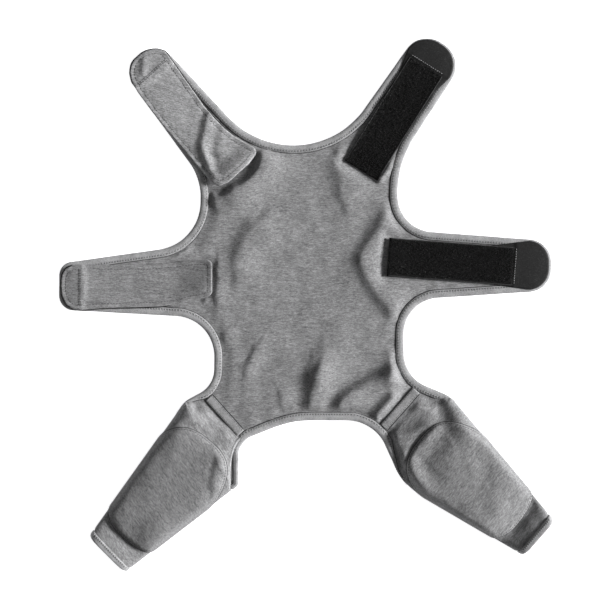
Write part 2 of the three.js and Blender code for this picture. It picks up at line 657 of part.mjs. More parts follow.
// Padded oval over the elbow, wrapped round both folded edges of the sleeve
function padGeometry(side) {
  const { topside, plan } = sleeveShape(side);
  const frame = frames[`${side}Sleeve`];
  const { along, across, degrees } = PADS[side];
  const centre = frame.at(along, across);
  const turn = radians(degrees);
  const way = frame.axis.clone().rotateAround(new THREE.Vector2(), turn);
  const cross = frame.across.clone().rotateAround(new THREE.Vector2(), turn);
  const base = SLOT_LIFT;
  const heightAt = (point, radius) => {
    const place = placeOnSleeve(plan, point);
    const column = Math.min(PAD_WRAP.level, Math.abs(place.column));
    const swell = PAD_THICKNESS * (1 - radius ** PAD_POWER);
    const fold = smooth((PAD_WRAP.end - Math.abs(place.column)) / PAD_WRAP.fade);
    return Math.max(base + CLOTH, topside(place.along, column) + PAD_EDGE + swell * fold);
  };
  const top = [];
  const bottom = [];
  const push = (point, radius) => {
    top.push([point.x, point.y, heightAt(point, radius)]);
    bottom.push([point.x, point.y, base]);
    return top.length - 1;
  };
  const middle = push(centre, 0);
  const ringPoints = (r) => Array.from({ length: PAD_SPOKES }, (_, k) => {
    const radius = (r + 1) / PAD_RINGS;
    const angle = (2 * Math.PI * k) / PAD_SPOKES;
    const oval = (value) => Math.sign(value) * Math.abs(value) ** (2 / PAD_POWER);
    const point = centre.clone()
      .addScaledVector(way, (oval(Math.cos(angle)) * radius * PAD_LENGTH) / 2)
      .addScaledVector(cross, (oval(Math.sin(angle)) * radius * PAD_WIDTH) / 2);
    return push(point, radius);
  });
  const circles = Array.from({ length: PAD_RINGS }, (_, r) => ringPoints(r));
  const faces = circles[0].map((a, k) => [middle, a, circles[0][(k + 1) % PAD_SPOKES]]);
  circles.slice(1).forEach((ring, r) => ring.forEach((d, k) => {
    const next = (k + 1) % PAD_SPOKES;
    const [a, b, c] = [circles[r][k], circles[r][next], ring[next]];
    faces.push([a, c, b], [a, d, c]);
  }));
  const oval = toSolid(sheetGeometry(top, bottom, faces));
  const inOutline = toSolid(prism(inset(outline, 0), -SLEEVE_CROWN, 4 * SLEEVE_CROWN));
  const mouth = [plan(1, -MOUTH_REACH, 0), plan(1, MOUTH_REACH, 0)];
  const towardsBody = frame.axis.clone().multiplyScalar(-frame.length);
  const pastMouth = toSolid(prism(
    [...mouth, ...mouth.map((point) => point.clone().add(towardsBody)).reverse()],
    -SLEEVE_CROWN, 4 * SLEEVE_CROWN,
  ));
  const pieces = oval.intersect(inOutline).subtract(pastMouth)
    .subtract(toSolid(sleeveFill(side, GAP))).decompose();
  pieces.sort((a, b) => b.volume() - a.volume());
  return fromSolid(pieces[0]);
}

// Share along a sleeve and column across it for a point on the plan
function placeOnSleeve(plan, point) {
  let along = 0.5;
  let column = 0;
  for (let pass = 0; pass < 8; pass += 1) {
    const low = plan(along, -1, 0);
    const high = plan(along, 1, 0);
    const across = high.clone().sub(low);
    column = (2 * point.clone().sub(low).dot(across)) / across.lengthSq() - 1;
    const here = plan(along, column, 0);
    const step = plan(1, column, 0).sub(plan(0, column, 0));
    along = clamp(along + point.clone().sub(here).dot(step) / step.lengthSq());
  }
  return { along, column };
}

// Band round the end of a sleeve
function cuffGeometry(side) {
  const { plan, underside, topside } = sleeveShape(side);
  const length = cornerPoint(`${side}_cuff_outer`).distanceTo(cornerPoint(`${side}_sleeve_outer`));
  const loop = (along, grow) => {
    const front = SLEEVE_COLUMNS.map((column) => {
      const point = plan(along, column, Math.abs(column) === 1 ? grow : 0);
      return [point.x, point.y, topside(along, column) + grow];
    });
    const back = SLEEVE_COLUMNS.map((column) => {
      const point = plan(along, column, Math.abs(column) === 1 ? grow : 0);
      return [point.x, point.y, underside(along) - grow];
    });
    return [...front, ...back.reverse()];
  };
  const shares = [-GAP / length, CUFF_WIDTH / length];
  const outside = shares.flatMap((along) => loop(Math.max(0, along), GAP + CUFF_WALL));
  const inside = shares.flatMap((along) => loop(Math.max(0, along), GAP));
  const size = 2 * SLEEVE_COLUMNS.length;
  const rows = [0, 1].map((j) => Array.from({ length: size + 1 }, (_, i) => j * size + (i % size)));
  return sheetGeometry(outside, inside, gridFaces(rows));
}

// Flat strip over the seam, between the bindings at its two ends
function seamBandGeometry({ along, outwards, outer, inner, at }) {
  const reach = BINDING_WIDTH + GAP;
  const half = outwards.clone().multiplyScalar(SEAM_BAND_WIDTH / 2);
  const ends = [at(outer + reach), at(inner - reach)];
  const points = [
    ends[0].clone().sub(half), ends[1].clone().sub(half),
    ends[1].clone().add(half), ends[0].clone().add(half),
  ];
  return prism(points, OVER_PANEL, OVER_PANEL + SEAM_BAND_THICKNESS);
}

// Hook tape: a flat plate over the bindings with a narrower foot on the strap between them
function hookTapeGeometry({ frame, inner, outer }) {
  const ends = [frames[frame].at(...inner), frames[frame].at(...outer)];
  const along = ends[1].clone().sub(ends[0]).normalize();
  const across = new THREE.Vector2(-along.y, along.x);
  const plateTop = OVER_BINDING + HOOK_TAPE_THICKNESS;
  const half = HOOK_TAPE_WIDTH / 2;
  const foot = TAPE_FOOT_WIDTH / 2;
  const profile = [
    [-foot, OVER_PANEL], [foot, OVER_PANEL], [foot, OVER_BINDING], [half, OVER_BINDING],
    [half, plateTop], [-half, plateTop], [-half, OVER_BINDING], [-foot, OVER_BINDING],
  ].map(([x, y]) => new THREE.Vector2(x, y));
  const sections = ends.map((end) => profile.map(({ x, y }) => [
    end.x + across.x * x, end.y + across.y * x, y,
  ]));
  return sweepGeometry(sections.reverse(), profile);
}

// Smooth end of a hook tape, from its last stitch line round the strap's tip
function tapeEndGeometry({ frame, inner, outer }, side) {
  const end = frames[frame].at(...outer);
  const along = end.clone().sub(frames[frame].at(...inner)).normalize();
  const across = new THREE.Vector2(-along.y, along.x);
  const names = [`${side}_tip_inner`, `${side}_tip_top`, `${side}_tip_outer`, `${side}_tip_low`,
    `${side}_tip`];
  const tip = inset(outline.filter(({ name }) => names.includes(name)), TAPE_END_INSET)
    .filter((point) => point.clone().sub(end).dot(along) > GAP);
  const half = HOOK_TAPE_WIDTH / 2;
  const foot = [half, -half].map((reach) => end.clone()
    .addScaledVector(along, GAP).addScaledVector(across, reach));
  return prism([foot[0], ...tip, foot[1]], OVER_BINDING, OVER_BINDING + HOOK_TAPE_THICKNESS);
}

// Soft loop tab lying on a left strap, its inner end standing off
function loopTabGeometry(frame, stations) {
  const top = [];
  const bottom = [];
  const rows = stations.map(({ along, outer, inner, rise }) => TAB_COLUMNS.map((share) => {
    const point = frame.at(along, mix(outer, inner, share));
    const crown = 1 - TAB_DROOP * (2 * share - 1) ** 2;
    const z = OVER_BINDING + rise * TAB_RISE * crown;
    top.push([point.x, point.y, z + TAB_THICKNESS]);
    bottom.push([point.x, point.y, z]);
    return top.length - 1;
  }));
  return sheetGeometry(top, bottom, gridFaces(rows));
}

addMesh('body_panel', bodyPanel(), 'jersey');
Object.entries(BINDINGS).forEach(([name, [from, to]]) => {
  addMesh(name, bindingGeometry(stretch(from, to)), 'binding');
});
['left', 'right'].forEach((side) => {
  addMesh(`${side}_sleeve`, sleeveGeometry(side), 'jersey');
  addMesh(`${side}_elbow_pad`, padGeometry(side), 'pad');
  addMesh(`${side}_cuff`, cuffGeometry(side), 'binding');
  addMesh(`${side}_seam_band`, seamBandGeometry(seams[side]), 'binding');
});
addMesh('neck_hook_tape', hookTapeGeometry(TAPES.neck), 'hook');
addMesh('chest_hook_tape', hookTapeGeometry(TAPES.chest), 'hook');
addMesh('neck_tape_end', tapeEndGeometry(TAPES.neck, 'right_neck'), 'tape');
addMesh('chest_tape_end', tapeEndGeometry(TAPES.chest, 'right_chest'), 'tape');
addMesh('neck_loop_tab', loopTabGeometry(frames.leftNeck, NECK_TAB), 'jersey');
addMesh('chest_loop_tab', loopTabGeometry(frames.leftChest, CHEST_TAB), 'jersey');

// The origin is under the middle of the whole shirt, on the surface
const extent = new THREE.Box3().setFromObject(group);
const middle = extent.getCenter(new THREE.Vector3());
group.position.set(-middle.x, -middle.y, -extent.min.z);
group.updateMatrixWorld(true);

export default group;
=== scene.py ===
"""Looks of a dog's recovery shirt, opened out and laid flat with its fastening side up."""

import math
import random
from collections import namedtuple

import bpy
import numpy as np
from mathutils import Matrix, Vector, geometry, noise
from mathutils.bvhtree import BVHTree


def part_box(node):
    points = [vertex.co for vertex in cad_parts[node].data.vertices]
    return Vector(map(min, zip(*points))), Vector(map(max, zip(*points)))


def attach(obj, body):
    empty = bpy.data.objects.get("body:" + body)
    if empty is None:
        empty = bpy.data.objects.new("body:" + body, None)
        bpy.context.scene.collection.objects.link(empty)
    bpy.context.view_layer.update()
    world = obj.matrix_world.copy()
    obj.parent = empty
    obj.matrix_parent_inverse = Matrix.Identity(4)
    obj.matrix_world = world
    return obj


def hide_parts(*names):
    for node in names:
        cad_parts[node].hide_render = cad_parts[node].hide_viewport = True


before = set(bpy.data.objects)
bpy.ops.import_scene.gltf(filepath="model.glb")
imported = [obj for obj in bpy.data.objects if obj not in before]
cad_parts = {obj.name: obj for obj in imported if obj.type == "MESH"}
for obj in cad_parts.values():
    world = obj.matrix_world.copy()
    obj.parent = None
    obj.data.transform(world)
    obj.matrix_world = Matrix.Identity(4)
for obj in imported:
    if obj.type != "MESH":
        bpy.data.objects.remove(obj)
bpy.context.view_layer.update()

# A fold: its crest in shares of the length and width of what it lies on, the breadth of the steep
# side on its right and of the gentle side on its left as shares of that width, and its height as
# a share of FOLD_HEIGHT
Fold = namedtuple("Fold", ["crest", "steep", "gentle", "height"])

# Sizes of the cloth and its trim
CLOTH = 0.0016
GAP = 0.0003
BINDING_WIDTH = 0.008
BINDING_WALL = 0.001
SEAM_BAND_WIDTH = 0.009
STITCH_PITCH = 0.0027
CELL = 0.0023
EDGE_STEP = 0.0018
TRIM_STEP = 0.0012
ARC_STEP_DEGREES = 3
SHARP_RADIUS = 0.002

# Sizes of the body panel and its straps
BODY = {"length": 0.276, "width": 0.198}
LEFT_NECK = {"length": 0.134, "width": 0.046}
RIGHT_NECK = {"length": 0.128, "width": 0.053}
LEFT_CHEST = {"length": 0.141, "width": 0.046}
RIGHT_CHEST = {"length": 0.1505, "width": 0.0495}
LEFT_SLEEVE = {"length": 0.180, "width": 0.080}
RIGHT_SLEEVE = {"length": 0.1875, "width": 0.080}
FOLD_HEIGHT = 0.006
REST_LIFT = 0.0011

# Sizes of the closures
HOOK_TAPE_WIDTH = 0.0384
HOOK_TAPE_THICKNESS = 0.0015
TAPE_END_INSET = 0.0017
TAPE_END_SHIFT = (-0.0009, 0.0003)
TAPE_END_TAIL = 0.024
TAPE_END_CELL = 0.0022
TAPE_END_RINGS = (0.0004, 0.001, 0.002)
TAB_THICKNESS = 0.0016
TAB_RISE = 0.007
TAB_CORNER = 0.006
TAB_CELL = 0.0021
TAB_RINGS = (0.0005, 0.0012)

# Sizes of the sleeves and their pads
SLEEVE_INSET = 0.0018
SLEEVE_EDGE = 0.0004
TUBE_POWER = {"left": 5.5, "right": 8}
SLEEVE_CROWN = 0.011
FOLD_EDGE = 0.0022
CUFF_WIDTH = 0.007
PAD = {"length": 0.130, "width": 0.090}
PAD_THICKNESS = 0.0014
PAD_EDGE = 0.0012
PAD_SLOPE = 0.0042
PAD_WRAP = 0.0008
PAD_CREASE = {"depth": 0.0021, "outside": 0.0055, "inside": 0.0018}
PAD_POWER = 2.8
PAD_CELL = 0.0027
PAD_RINGS = (0.0006, 0.0014, 0.0026)

# Radii of the threads, of the dark cords that are painted shade lines, and of the hooks
RADIUS = {
    "fine_stitch": 0.00022, "stitch": 0.00028, "pad_stitch": 0.00032, "ladder": 0.00034,
    "binding_shade_line": 0.00036, "pad_shade_line": 0.00046, "tab_shade_line": 0.00052, "band_shade_line": 0.00055,
    "hook": 0.00021, "selvedge": 0.00032,
}

# Ripples of the cloths: height, waves in a metre and seed
RIPPLES = {
    "panel": [(0.0011, 26, 3.1), (0.00045, 70, 8.7)],
    "panel_fine": [(0.00016, 210, 5.3)],
    "sleeve": [(0.0009, 45, 6.1), (0.0002, 160, 2.9)],
    "pad": [(0.0005, 60, 9.4), (0.00014, 230, 1.3)],
    "tab": [(0.0004, 60, 4.4), (0.00012, 220, 7.7)],
    "tape_end": [(0.00025, 90, 5.5)],
}

# Distance from the panel's edge at which its relief starts, and the breadth over which it rises
PANEL_RISES = {
    "waves": (0.007, 0.014), "folds": (0.0065, 0.008), "creases": (0.006, 0.004),
    "fine": (0, 0.006),
}
COVER_RISE = (0, 0.012)

# Heights over the surface
SLOT_LIFT = BINDING_WALL + GAP
EDGE_INSET = BINDING_WALL + GAP
BINDING_HEIGHT = 2 * SLOT_LIFT + CLOTH
OVER_PANEL = SLOT_LIFT + CLOTH + GAP
OVER_BINDING = BINDING_HEIGHT + GAP


def unit(vector):
    return vector / np.linalg.norm(vector)


def turned(vector, degrees):
    angle = math.radians(degrees)
    c, s = math.cos(angle), math.sin(angle)
    return np.array([c * vector[0] - s * vector[1], s * vector[0] + c * vector[1]])


def smooth(value):
    t = np.clip(value, 0, 1)
    return t * t * (3 - 2 * t)


def mix(a, b, share):
    return a + (b - a) * share


class Limb:
    """A limb's own frame: shares of its length along its axis and of its width across it."""

    def __init__(self, root, degrees, side, size):
        self.root = np.array(root)
        self.axis = turned(np.array([1.0, 0.0]), degrees)
        self.across = side * turned(self.axis, 90)
        self.length = size["length"]
        self.width = size["width"]

    def at(self, along, across):
        along = np.asarray(along)[..., None]
        across = np.asarray(across)[..., None]
        return self.root + along * self.length * self.axis + across * self.width * self.across

    def shares(self, points):
        offset = points - self.root
        return offset @ self.axis / self.length, offset @ self.across / self.width


def make_limbs(origin):
    body = Limb(origin, 90, -1, BODY)
    return {
        "body": body,
        "leftNeck": Limb(body.at(0.475, -0.338), 131.8, 1, LEFT_NECK),
        "rightNeck": Limb(body.at(0.482, 0.369), 55.6, -1, RIGHT_NECK),
        "leftChest": Limb(body.at(-0.004, -0.5), 180, 1, LEFT_CHEST),
        "rightChest": Limb(body.at(0.069, 0.515), -0.7, -1, RIGHT_CHEST),
        "leftSleeve": Limb(body.at(-0.478, -0.376), 230.4, 1, LEFT_SLEEVE),
        "rightSleeve": Limb(body.at(-0.458, 0.508), -42.8, -1, RIGHT_SLEEVE),
    }


# Corners of the outline, clockwise from the left neck strap's tip: name, frame, share along it,
# share across it, and the corner's radius as a share of the frame's width
OUTLINE = [
    ("left_neck_tip_outer", "leftNeck", 1, 0.597, 0.48),
    ("left_neck_tip", "leftNeck", 1, 0.096, 0),
    ("left_neck_tip_inner", "leftNeck", 1, -0.405, 0.48),
    ("neckline_left", "body", 0.5, -0.225, 0.455),
    ("neckline_right", "body", 0.5, 0.2, 0.43),
    ("right_neck_tip_inner", "rightNeck", 1, -0.531, 0.475),
    ("right_neck_tip", "rightNeck", 1, -0.025, 0),
    ("right_neck_tip_outer", "rightNeck", 1, 0.48, 0.475),
    ("right_armhole_top", "body", 0.438, 0.5, 0.53),
    ("right_armhole_low", "body", 0.195, 0.5, 0.182),
    ("right_chest_tip_top", "rightChest", 1, -0.502, 0.465),
    ("right_chest_tip", "rightChest", 1, 0, 0),
    ("right_chest_tip_low", "rightChest", 1, 0.498, 0.465),
    ("right_waist_top", "body", -0.062, 0.53, 0.182),
    ("right_waist_low", "body", -0.339, 0.53, 0.182),
    ("right_waist_end", "rightSleeve", 0.084, -0.497, 0),
    ("right_sleeve_outer", "rightSleeve", 0.157, -0.558, 0.44),
    ("right_cuff_outer", "rightSleeve", 1, -0.304, 0.037),
    ("right_cuff_inner", "rightSleeve", 1.007, 0.294, 0.05),
    ("right_sleeve_inner", "rightSleeve", 0.283, 0.671, 0.8),
    ("right_opening", "rightSleeve", 0.15, 0.527, 0),
    ("hem_right", "body", -0.498, 0.379, 0.212),
    ("hem_left", "body", -0.498, -0.035, 0.505),
    ("hem_left_low", "body", -0.574, -0.303, 0.162),
    ("left_opening", "leftSleeve", 0.12, 0.456, 0),
    ("left_sleeve_inner", "leftSleeve", 0.252, 0.697, 0.075),
    ("left_cuff_inner", "leftSleeve", 1.021, 0.302, 0.037),
    ("left_cuff_outer", "leftSleeve", 0.994, -0.345, 0.05),
    ("left_sleeve_outer", "leftSleeve", 0.083, -0.494, 0.312),
    ("left_waist_end", "leftSleeve", 0.022, -0.439, 0),
    ("left_waist_low", "body", -0.372, -0.429, 0.141),
    ("left_waist_top", "body", -0.127, -0.429, 0.202),
    ("left_chest_tip_low", "leftChest", 1, 0.554, 0.326),
    ("left_chest_tip", "leftChest", 1, 0.052, 0),
    ("left_chest_tip_top", "leftChest", 1, -0.45, 0.304),
    ("left_armhole_low", "body", 0.143, -0.5, 0.242),
    ("left_armhole_top", "body", 0.38, -0.497, 0.293),
]

BINDINGS = {
    "neck_binding": ("left_neck_tip", "right_neck_tip"),
    "right_armhole_binding": ("right_neck_tip", "right_chest_tip"),
    "right_waist_binding": ("right_chest_tip", "right_waist_end"),
    "hem_binding": ("right_opening", "left_opening"),
    "left_waist_binding": ("left_waist_end", "left_chest_tip"),
    "left_armhole_binding": ("left_chest_tip", "left_neck_tip"),
}

# How far a binding runs on before its first corner and after its last one
BINDING_RUN_ON = {
    "hem_binding": (0.03, 0.0375),
    "right_waist_binding": (0, 0.02),
    "left_waist_binding": (0.026, 0),
}

# Width of a binding near its ends: distance from the end and share of the full width
BINDING_TAPERS = {
    "hem_binding": {
        "start": [(0, 0.1), (0.014, 0.2), (0.03, 0.5), (0.048, 1)],
        "end": [(0, 0.6), (0.038, 0.72), (0.056, 1)],
    },
    "right_waist_binding": {"end": [(0, 0.12), (0.008, 0.4), (0.02, 1)]},
    "left_waist_binding": {"start": [(0, 0.12), (0.013, 0.3), (0.025, 0.6), (0.036, 1)]},
}

# Front edge of the left leg opening, which lies inside the outline, in the sleeve's frame
OPENING_FRONT = [
    (0.302, 0.66), (0.241, 0.535), (0.193, 0.455), (0.142, 0.385), (0.085, 0.337), (0.044, 0.33),
]
OPENING_LIFT = 0.0024
OPENING_DEPTH = 0.013
FRONT_BINDING_WIDTH = 0.0028

# Share of the way from the cuff to the outline's corner at which a tube's inner edge ends
MOUTH_SHARE = {"left": 0.933, "right": 1.0}

SEAM_TILT_DEGREES = {"left": -8.6, "right": 1.4}

# Folds of the body panel
FOLDS = [
    Fold([(0.3, 0.49), (0.188, 0.404), (0.098, 0.313), (0.025, 0.345), (-0.035, 0.4),
          (-0.1, 0.475)], 0.038, 0.085, 0.66),
    Fold([(-0.275, 0.098), (-0.31, 0.092)], 0.045, 0.085, 0.36),
    Fold([(-0.345, 0.086), (-0.395, 0.074), (-0.49, 0.056)], 0.038, 0.085, 0.85),
    Fold([(-0.318, 0.49), (-0.341, 0.439), (-0.361, 0.364), (-0.39, 0.293), (-0.417, 0.23),
          (-0.438, 0.205), (-0.49, 0.194)], 0.036, 0.075, 1.05),
    Fold([(-0.42, 0.48), (-0.486, 0.405)], 0.034, 0.06, 1),
    Fold([(-0.235, -0.21), (-0.28, -0.238), (-0.31, -0.262)], 0.022, 0.05, 0.32),
    Fold([(0.2, -0.22), (0.149, -0.268), (0.107, -0.293), (0.06, -0.31)], 0.05, 0.105, 0.66),
    Fold([(0.43, 0.205), (0.36, 0.222), (0.32, 0.225)], 0.045, 0.1, 0.45),
    Fold([(-0.43, -0.08), (-0.485, -0.04)], 0.026, 0.08, 0.3),
    Fold([(0.31, -0.43), (0.29, -0.44)], 0.018, 0.04, 0.22),
    Fold([(-0.19, -0.375), (-0.22, -0.41)], 0.024, 0.05, 0.3),
    Fold([(-0.27, 0.48), (-0.35, 0.465)], 0.04, 0.04, 0.55),
    Fold([(0.463, -0.183), (0.413, -0.194), (0.372, -0.24), (0.346, -0.29),
          (0.338, -0.325)], 0.025, 0.1, 1.1),
    Fold([(0.05, -0.41), (0.0, -0.402), (-0.045, -0.414)], 0.02, 0.06, 0.42),
    Fold([(-0.25, 0.2), (-0.14, 0.28), (-0.05, 0.32)], 0.08, 0.12, 0.2),
]

# Small creases of the straps beside the tapes and tabs: the strap's frame and the fold in it
STRAP_FOLDS = [
    ("rightNeck", Fold([(0.3, 0.375), (0.186, 0.395), (-0.03, 0.435),
                        (-0.148, 0.425)], 0.05, 0.05, 0.36)),
    ("rightNeck", Fold([(0.06, 0.52), (-0.098, 0.48), (-0.17, 0.44)], 0.05, 0.05, 0.36)),
    ("rightChest", Fold([(0.1, -0.4), (-0.02, -0.44), (-0.08, -0.36)], 0.05, 0.09, 0.3)),
    ("leftNeck", Fold([(-0.15, 0.95), (-0.19, 1.02)], 0.06, 0.1, 0.3)),
    ("leftChest", Fold([(0.16, 0.55), (0.04, 0.44), (-0.04, 0.36)], 0.05, 0.08, 0.25)),
    ("leftChest", Fold([(0.16, -0.62), (0.08, -0.78)], 0.05, 0.1, 0.3)),
]

# Hook tapes: middle of the inner end and of the sewn outer end, in the strap's frame, and how
# far the inner end curls up from the strap or sinks onto it
TAPES = {
    "neck": {"frame": "rightNeck", "inner": (-0.181, 0.047), "outer": (0.779, -0.046),
             "curl": -0.0012},
    "chest": {"frame": "rightChest", "inner": (-0.087, -0.138), "outer": (0.746, 0.023),
              "curl": 0.001},
}

# Loop tabs from the strap's tip to the free end: share along the strap, both edges as shares
# of its width, and the rise off the strap as a share of TAB_RISE
NECK_TAB = [
    (0.997, 0.26, 0.04, 0), (0.987, 0.36, -0.08, 0), (0.964, 0.45, -0.2, 0),
    (0.94, 0.52, -0.28, 0), (0.89, 0.6, -0.375, 0), (0.8, 0.665, -0.345, 0),
    (0.616, 0.715, -0.285, 0), (0.395, 0.745, -0.21, 0.02), (0.27, 0.75, -0.2, 0.04),
    (0.163, 0.76, -0.217, 0.08), (0.08, 0.77, -0.26, 0.16), (0, 0.775, -0.33, 0.35),
    (-0.08, 0.76, -0.41, 0.75), (-0.13, 0.71, -0.42, 1), (-0.155, 0.5, -0.1, 1),
]
CHEST_TAB = [
    (0.982, 0.14, -0.1, 0), (0.975, 0.26, -0.21, 0), (0.95, 0.43, -0.34, 0),
    (0.9, 0.545, -0.41, 0), (0.83, 0.56, -0.43, 0), (0.71, 0.525, -0.425, 0),
    (0.4, 0.498, -0.42, 0), (0.284, 0.487, -0.44, 0.03), (0.177, 0.443, -0.47, 0.1),
    (0.07, 0.367, -0.51, 0.35), (-0.035, 0.29, -0.53, 0.68), (-0.09, 0.24, -0.52, 1),
]

# Sleeve sections from the cuff to the upper mouth: share along, crown and lift
SLEEVE_SECTIONS = {
    "left": [
        (0, 0.64, 1), (0.05, 0.55, 1), (0.13, 0.4, 0.5), (0.2, 0.66, 0), (0.32, 0.95, 0),
        (0.75, 0.98, 0), (0.88, 0.9, 0), (1, 0.8, 0),
    ],
    "right": [
        (0, 0.9, 1), (0.04, 0.82, 1), (0.08, 0.56, 0.8), (0.12, 0.34, 0.6), (0.16, 0.14, 0.4),
        (0.19, 0.08, 0.3), (0.24, 0.4, 0.1), (0.3, 0.86, 0), (0.38, 1, 0), (0.75, 0.98, 0),
        (0.88, 0.9, 0), (1, 0.8, 0),
    ],
}
# How much of its crown a sleeve keeps at its upper mouth
MOUTH_CROWN = {"left": 1, "right": 0.6}
# Breadth over which a yoke rises beside its bindings
YOKE_RAMP = {"left": 0.012, "right": 0.006}
YOKE_SECTIONS = [(0, 0.8), (0.12, 0.7), (0.3, 0.47), (0.48, 0.25), (0.64, 0.12), (0.8, 0.03), (1, 0)]

PADS = {
    "left": {"along": 0.518, "across": 0.05, "degrees": 0},
    "right": {"along": 0.527, "across": 0.05, "degrees": 6},
}


def rounded_loop(corners, step_degrees):
    """Outline with round corners, as points, the way inwards at each and its corner's name."""
    count = len(corners)
    spots = [corner["point"] for corner in corners]
    heading = [unit(spots[(i + 1) % count] - spots[i]) for i in range(count)]
    turns, tangents, radii = [], [], []
    for i, corner in enumerate(corners):
        before, after = heading[i - 1], heading[i]
        turn = math.atan2(before[0] * after[1] - before[1] * after[0], before @ after)
        radius = max(corner["radius"], SHARP_RADIUS)
        turns.append(turn)
        radii.append(radius)
        tangents.append(radius * math.tan(abs(turn) / 2))

    def room(i, j):
        wanted = tangents[i] + tangents[j]
        return np.linalg.norm(spots[i] - spots[j]) / wanted if wanted > 0 else 1

    points, inwards, names = [], [], []
    for i, corner in enumerate(corners):
        scale = min(1, room(i, (i + 1) % count), room((i - 1) % count, i))
        turn, tangent, radius = turns[i], tangents[i] * scale, radii[i] * scale
        before = heading[i - 1]
        inward = np.array([before[1], -before[0]])
        start = spots[i] - before * tangent
        bend = math.copysign(1, turn)
        centre = start - inward * bend * radius
        steps = max(2, math.ceil(abs(turn) / math.radians(step_degrees)))
        if abs(turn) < math.radians(1):
            steps = 0
        for k in range(steps + 1):
            angle = turn * k / steps if steps else turn / 2
            normal = turned(inward, math.degrees(angle))
            points.append(centre + normal * bend * radius if steps else spots[i])
            inwards.append(normal)
            names.append(corner["name"])
    return np.array(points), np.array(inwards), names


def outline_from(limbs):
    corners = [
        {"name": name, "point": limbs[limb].at(along, across), "radius": limbs[limb].width * share}
        for name, limb, along, across, share in OUTLINE
    ]
    return rounded_loop(corners, ARC_STEP_DEGREES), {c["name"]: c["point"] for c in corners}


# The outline is placed so that the panel's corner of the box is the model's own
trial = make_limbs(np.zeros(2))
(trial_points, trial_inwards, _), _ = outline_from(trial)
trial_rim = trial_points + trial_inwards * EDGE_INSET
panel_low, panel_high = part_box("body_panel")
origin = np.array([panel_low.x - trial_rim[:, 0].min(), panel_high.y - trial_rim[:, 1].max()])
limbs = make_limbs(origin)
(loop_points, loop_inwards, loop_names), corner_points = outline_from(limbs)


def stretch(from_name, to_name, before=0.0, after=0.0):
    """The outline between two corners, run on past them by some length."""
    count = len(loop_names)
    start = max(i for i, name in enumerate(loop_names) if name == from_name)
    picked = [start]
    i = (start + 1) % count
    while loop_names[i] != to_name:
        picked.append(i)
        i = (i + 1) % count
    picked.append(i)
    points, inwards = loop_points[picked], loop_inwards[picked]
    if before:
        extra, turns = run_on(start, -1, before)
        points, inwards = np.concatenate([extra[::-1], points]), np.concatenate([turns[::-1], inwards])
    if after:
        extra, turns = run_on(i, 1, after)
        points, inwards = np.concatenate([points, extra]), np.concatenate([inwards, turns])
    return points, inwards


def run_on(start, step, length):
    """Outline points past one of them, up to a length along it."""
    count = len(loop_names)
    points, inwards = [], []
    here, i, left = loop_points[start], (start + step) % count, length
    while left > 0:
        gap = np.linalg.norm(loop_points[i] - here)
        if gap > 1e-7:
            share = min(1, left / gap)
            here = mix(here, loop_points[i], share)
            points.append(here)
            inwards.append(loop_inwards[i])
            left -= gap
        i = (i + step) % count
    return np.array(points), np.array(inwards)


def crossing(point, way, reach):
    """How far from a point the outline is met along a way, nought if not within the reach."""
    starts, ends = loop_points, np.roll(loop_points, -1, axis=0)
    normal = np.array([-way[1], way[0]])
    a, b = (starts - point) @ normal, (ends - point) @ normal
    hit = (a > 0) != (b > 0)
    share = a[hit] / (a[hit] - b[hit])
    far = mix(starts[hit] @ way, ends[hit] @ way, share) - point @ way
    near = far[np.abs(far) < reach]
    return near[np.abs(near).argmin()] if len(near) else 0.0


def resample(points, step, *others):
    """Evenly spaced points along a path, with other values carried along."""
    lengths = np.linalg.norm(np.diff(points, axis=0), axis=1)
    reached = np.concatenate([[0], np.cumsum(lengths)])
    count = max(2, round(reached[-1] / step) + 1)
    wanted = np.linspace(0, reached[-1], count)
    return [
        np.stack([np.interp(wanted, reached, array[:, i]) for i in range(array.shape[1])], axis=1)
        for array in (points, *others)
    ]


def nearest_on_path(points, path, closed=False):
    """Distance to a path, offset to its left, and the length along it, for many points."""
    starts = path if closed else path[:-1]
    ends = np.roll(path, -1, axis=0) if closed else path[1:]
    edges = ends - starts
    square = np.maximum((edges ** 2).sum(axis=1), 1e-18)
    lengths = np.sqrt(square)
    reached = np.concatenate([[0], np.cumsum(lengths)])[:-1]
    distance, offset, along = [], [], []
    chunk = 1500
    for first in range(0, len(points), chunk):
        part = points[first:first + chunk]
        away = part[:, None, :] - starts[None, :, :]
        share = np.clip((away * edges).sum(axis=2) / square, 0, 1)
        gap = np.linalg.norm(away - share[..., None] * edges, axis=2)
        best = gap.argmin(axis=1)
        rows = np.arange(len(part))
        picked = edges[best]
        side = away[rows, best]
        distance.append(gap[rows, best])
        offset.append((picked[:, 0] * side[:, 1] - picked[:, 1] * side[:, 0]) / lengths[best])
        along.append(reached[best] + share[rows, best] * lengths[best])
    return np.concatenate(distance), np.concatenate(offset), np.concatenate(along)


def edge_distance(points, polygon):
    return nearest_on_path(points, polygon, closed=True)[0]


def closed(polygon):
    return np.concatenate([polygon, polygon[:1]])


def even_ring(polygon, step):
    """The corners of a closed polygon, evenly spaced."""
    return resample(closed(polygon), step)[0][:-1]


def rise_from(distance, rise):
    """Nought up to the rise's start, then up to 1 over its reach."""
    start, reach = rise
    return smooth((distance - start) / reach)


def rounded(edge, radius):
    """Share of full thickness near an edge that is rounded by a radius."""
    return np.sqrt(1 - (1 - np.clip(edge / radius, 0, 1)) ** 2)


def bell(distance, spot, breadth):
    return np.exp(-((distance - spot) / breadth) ** 2)


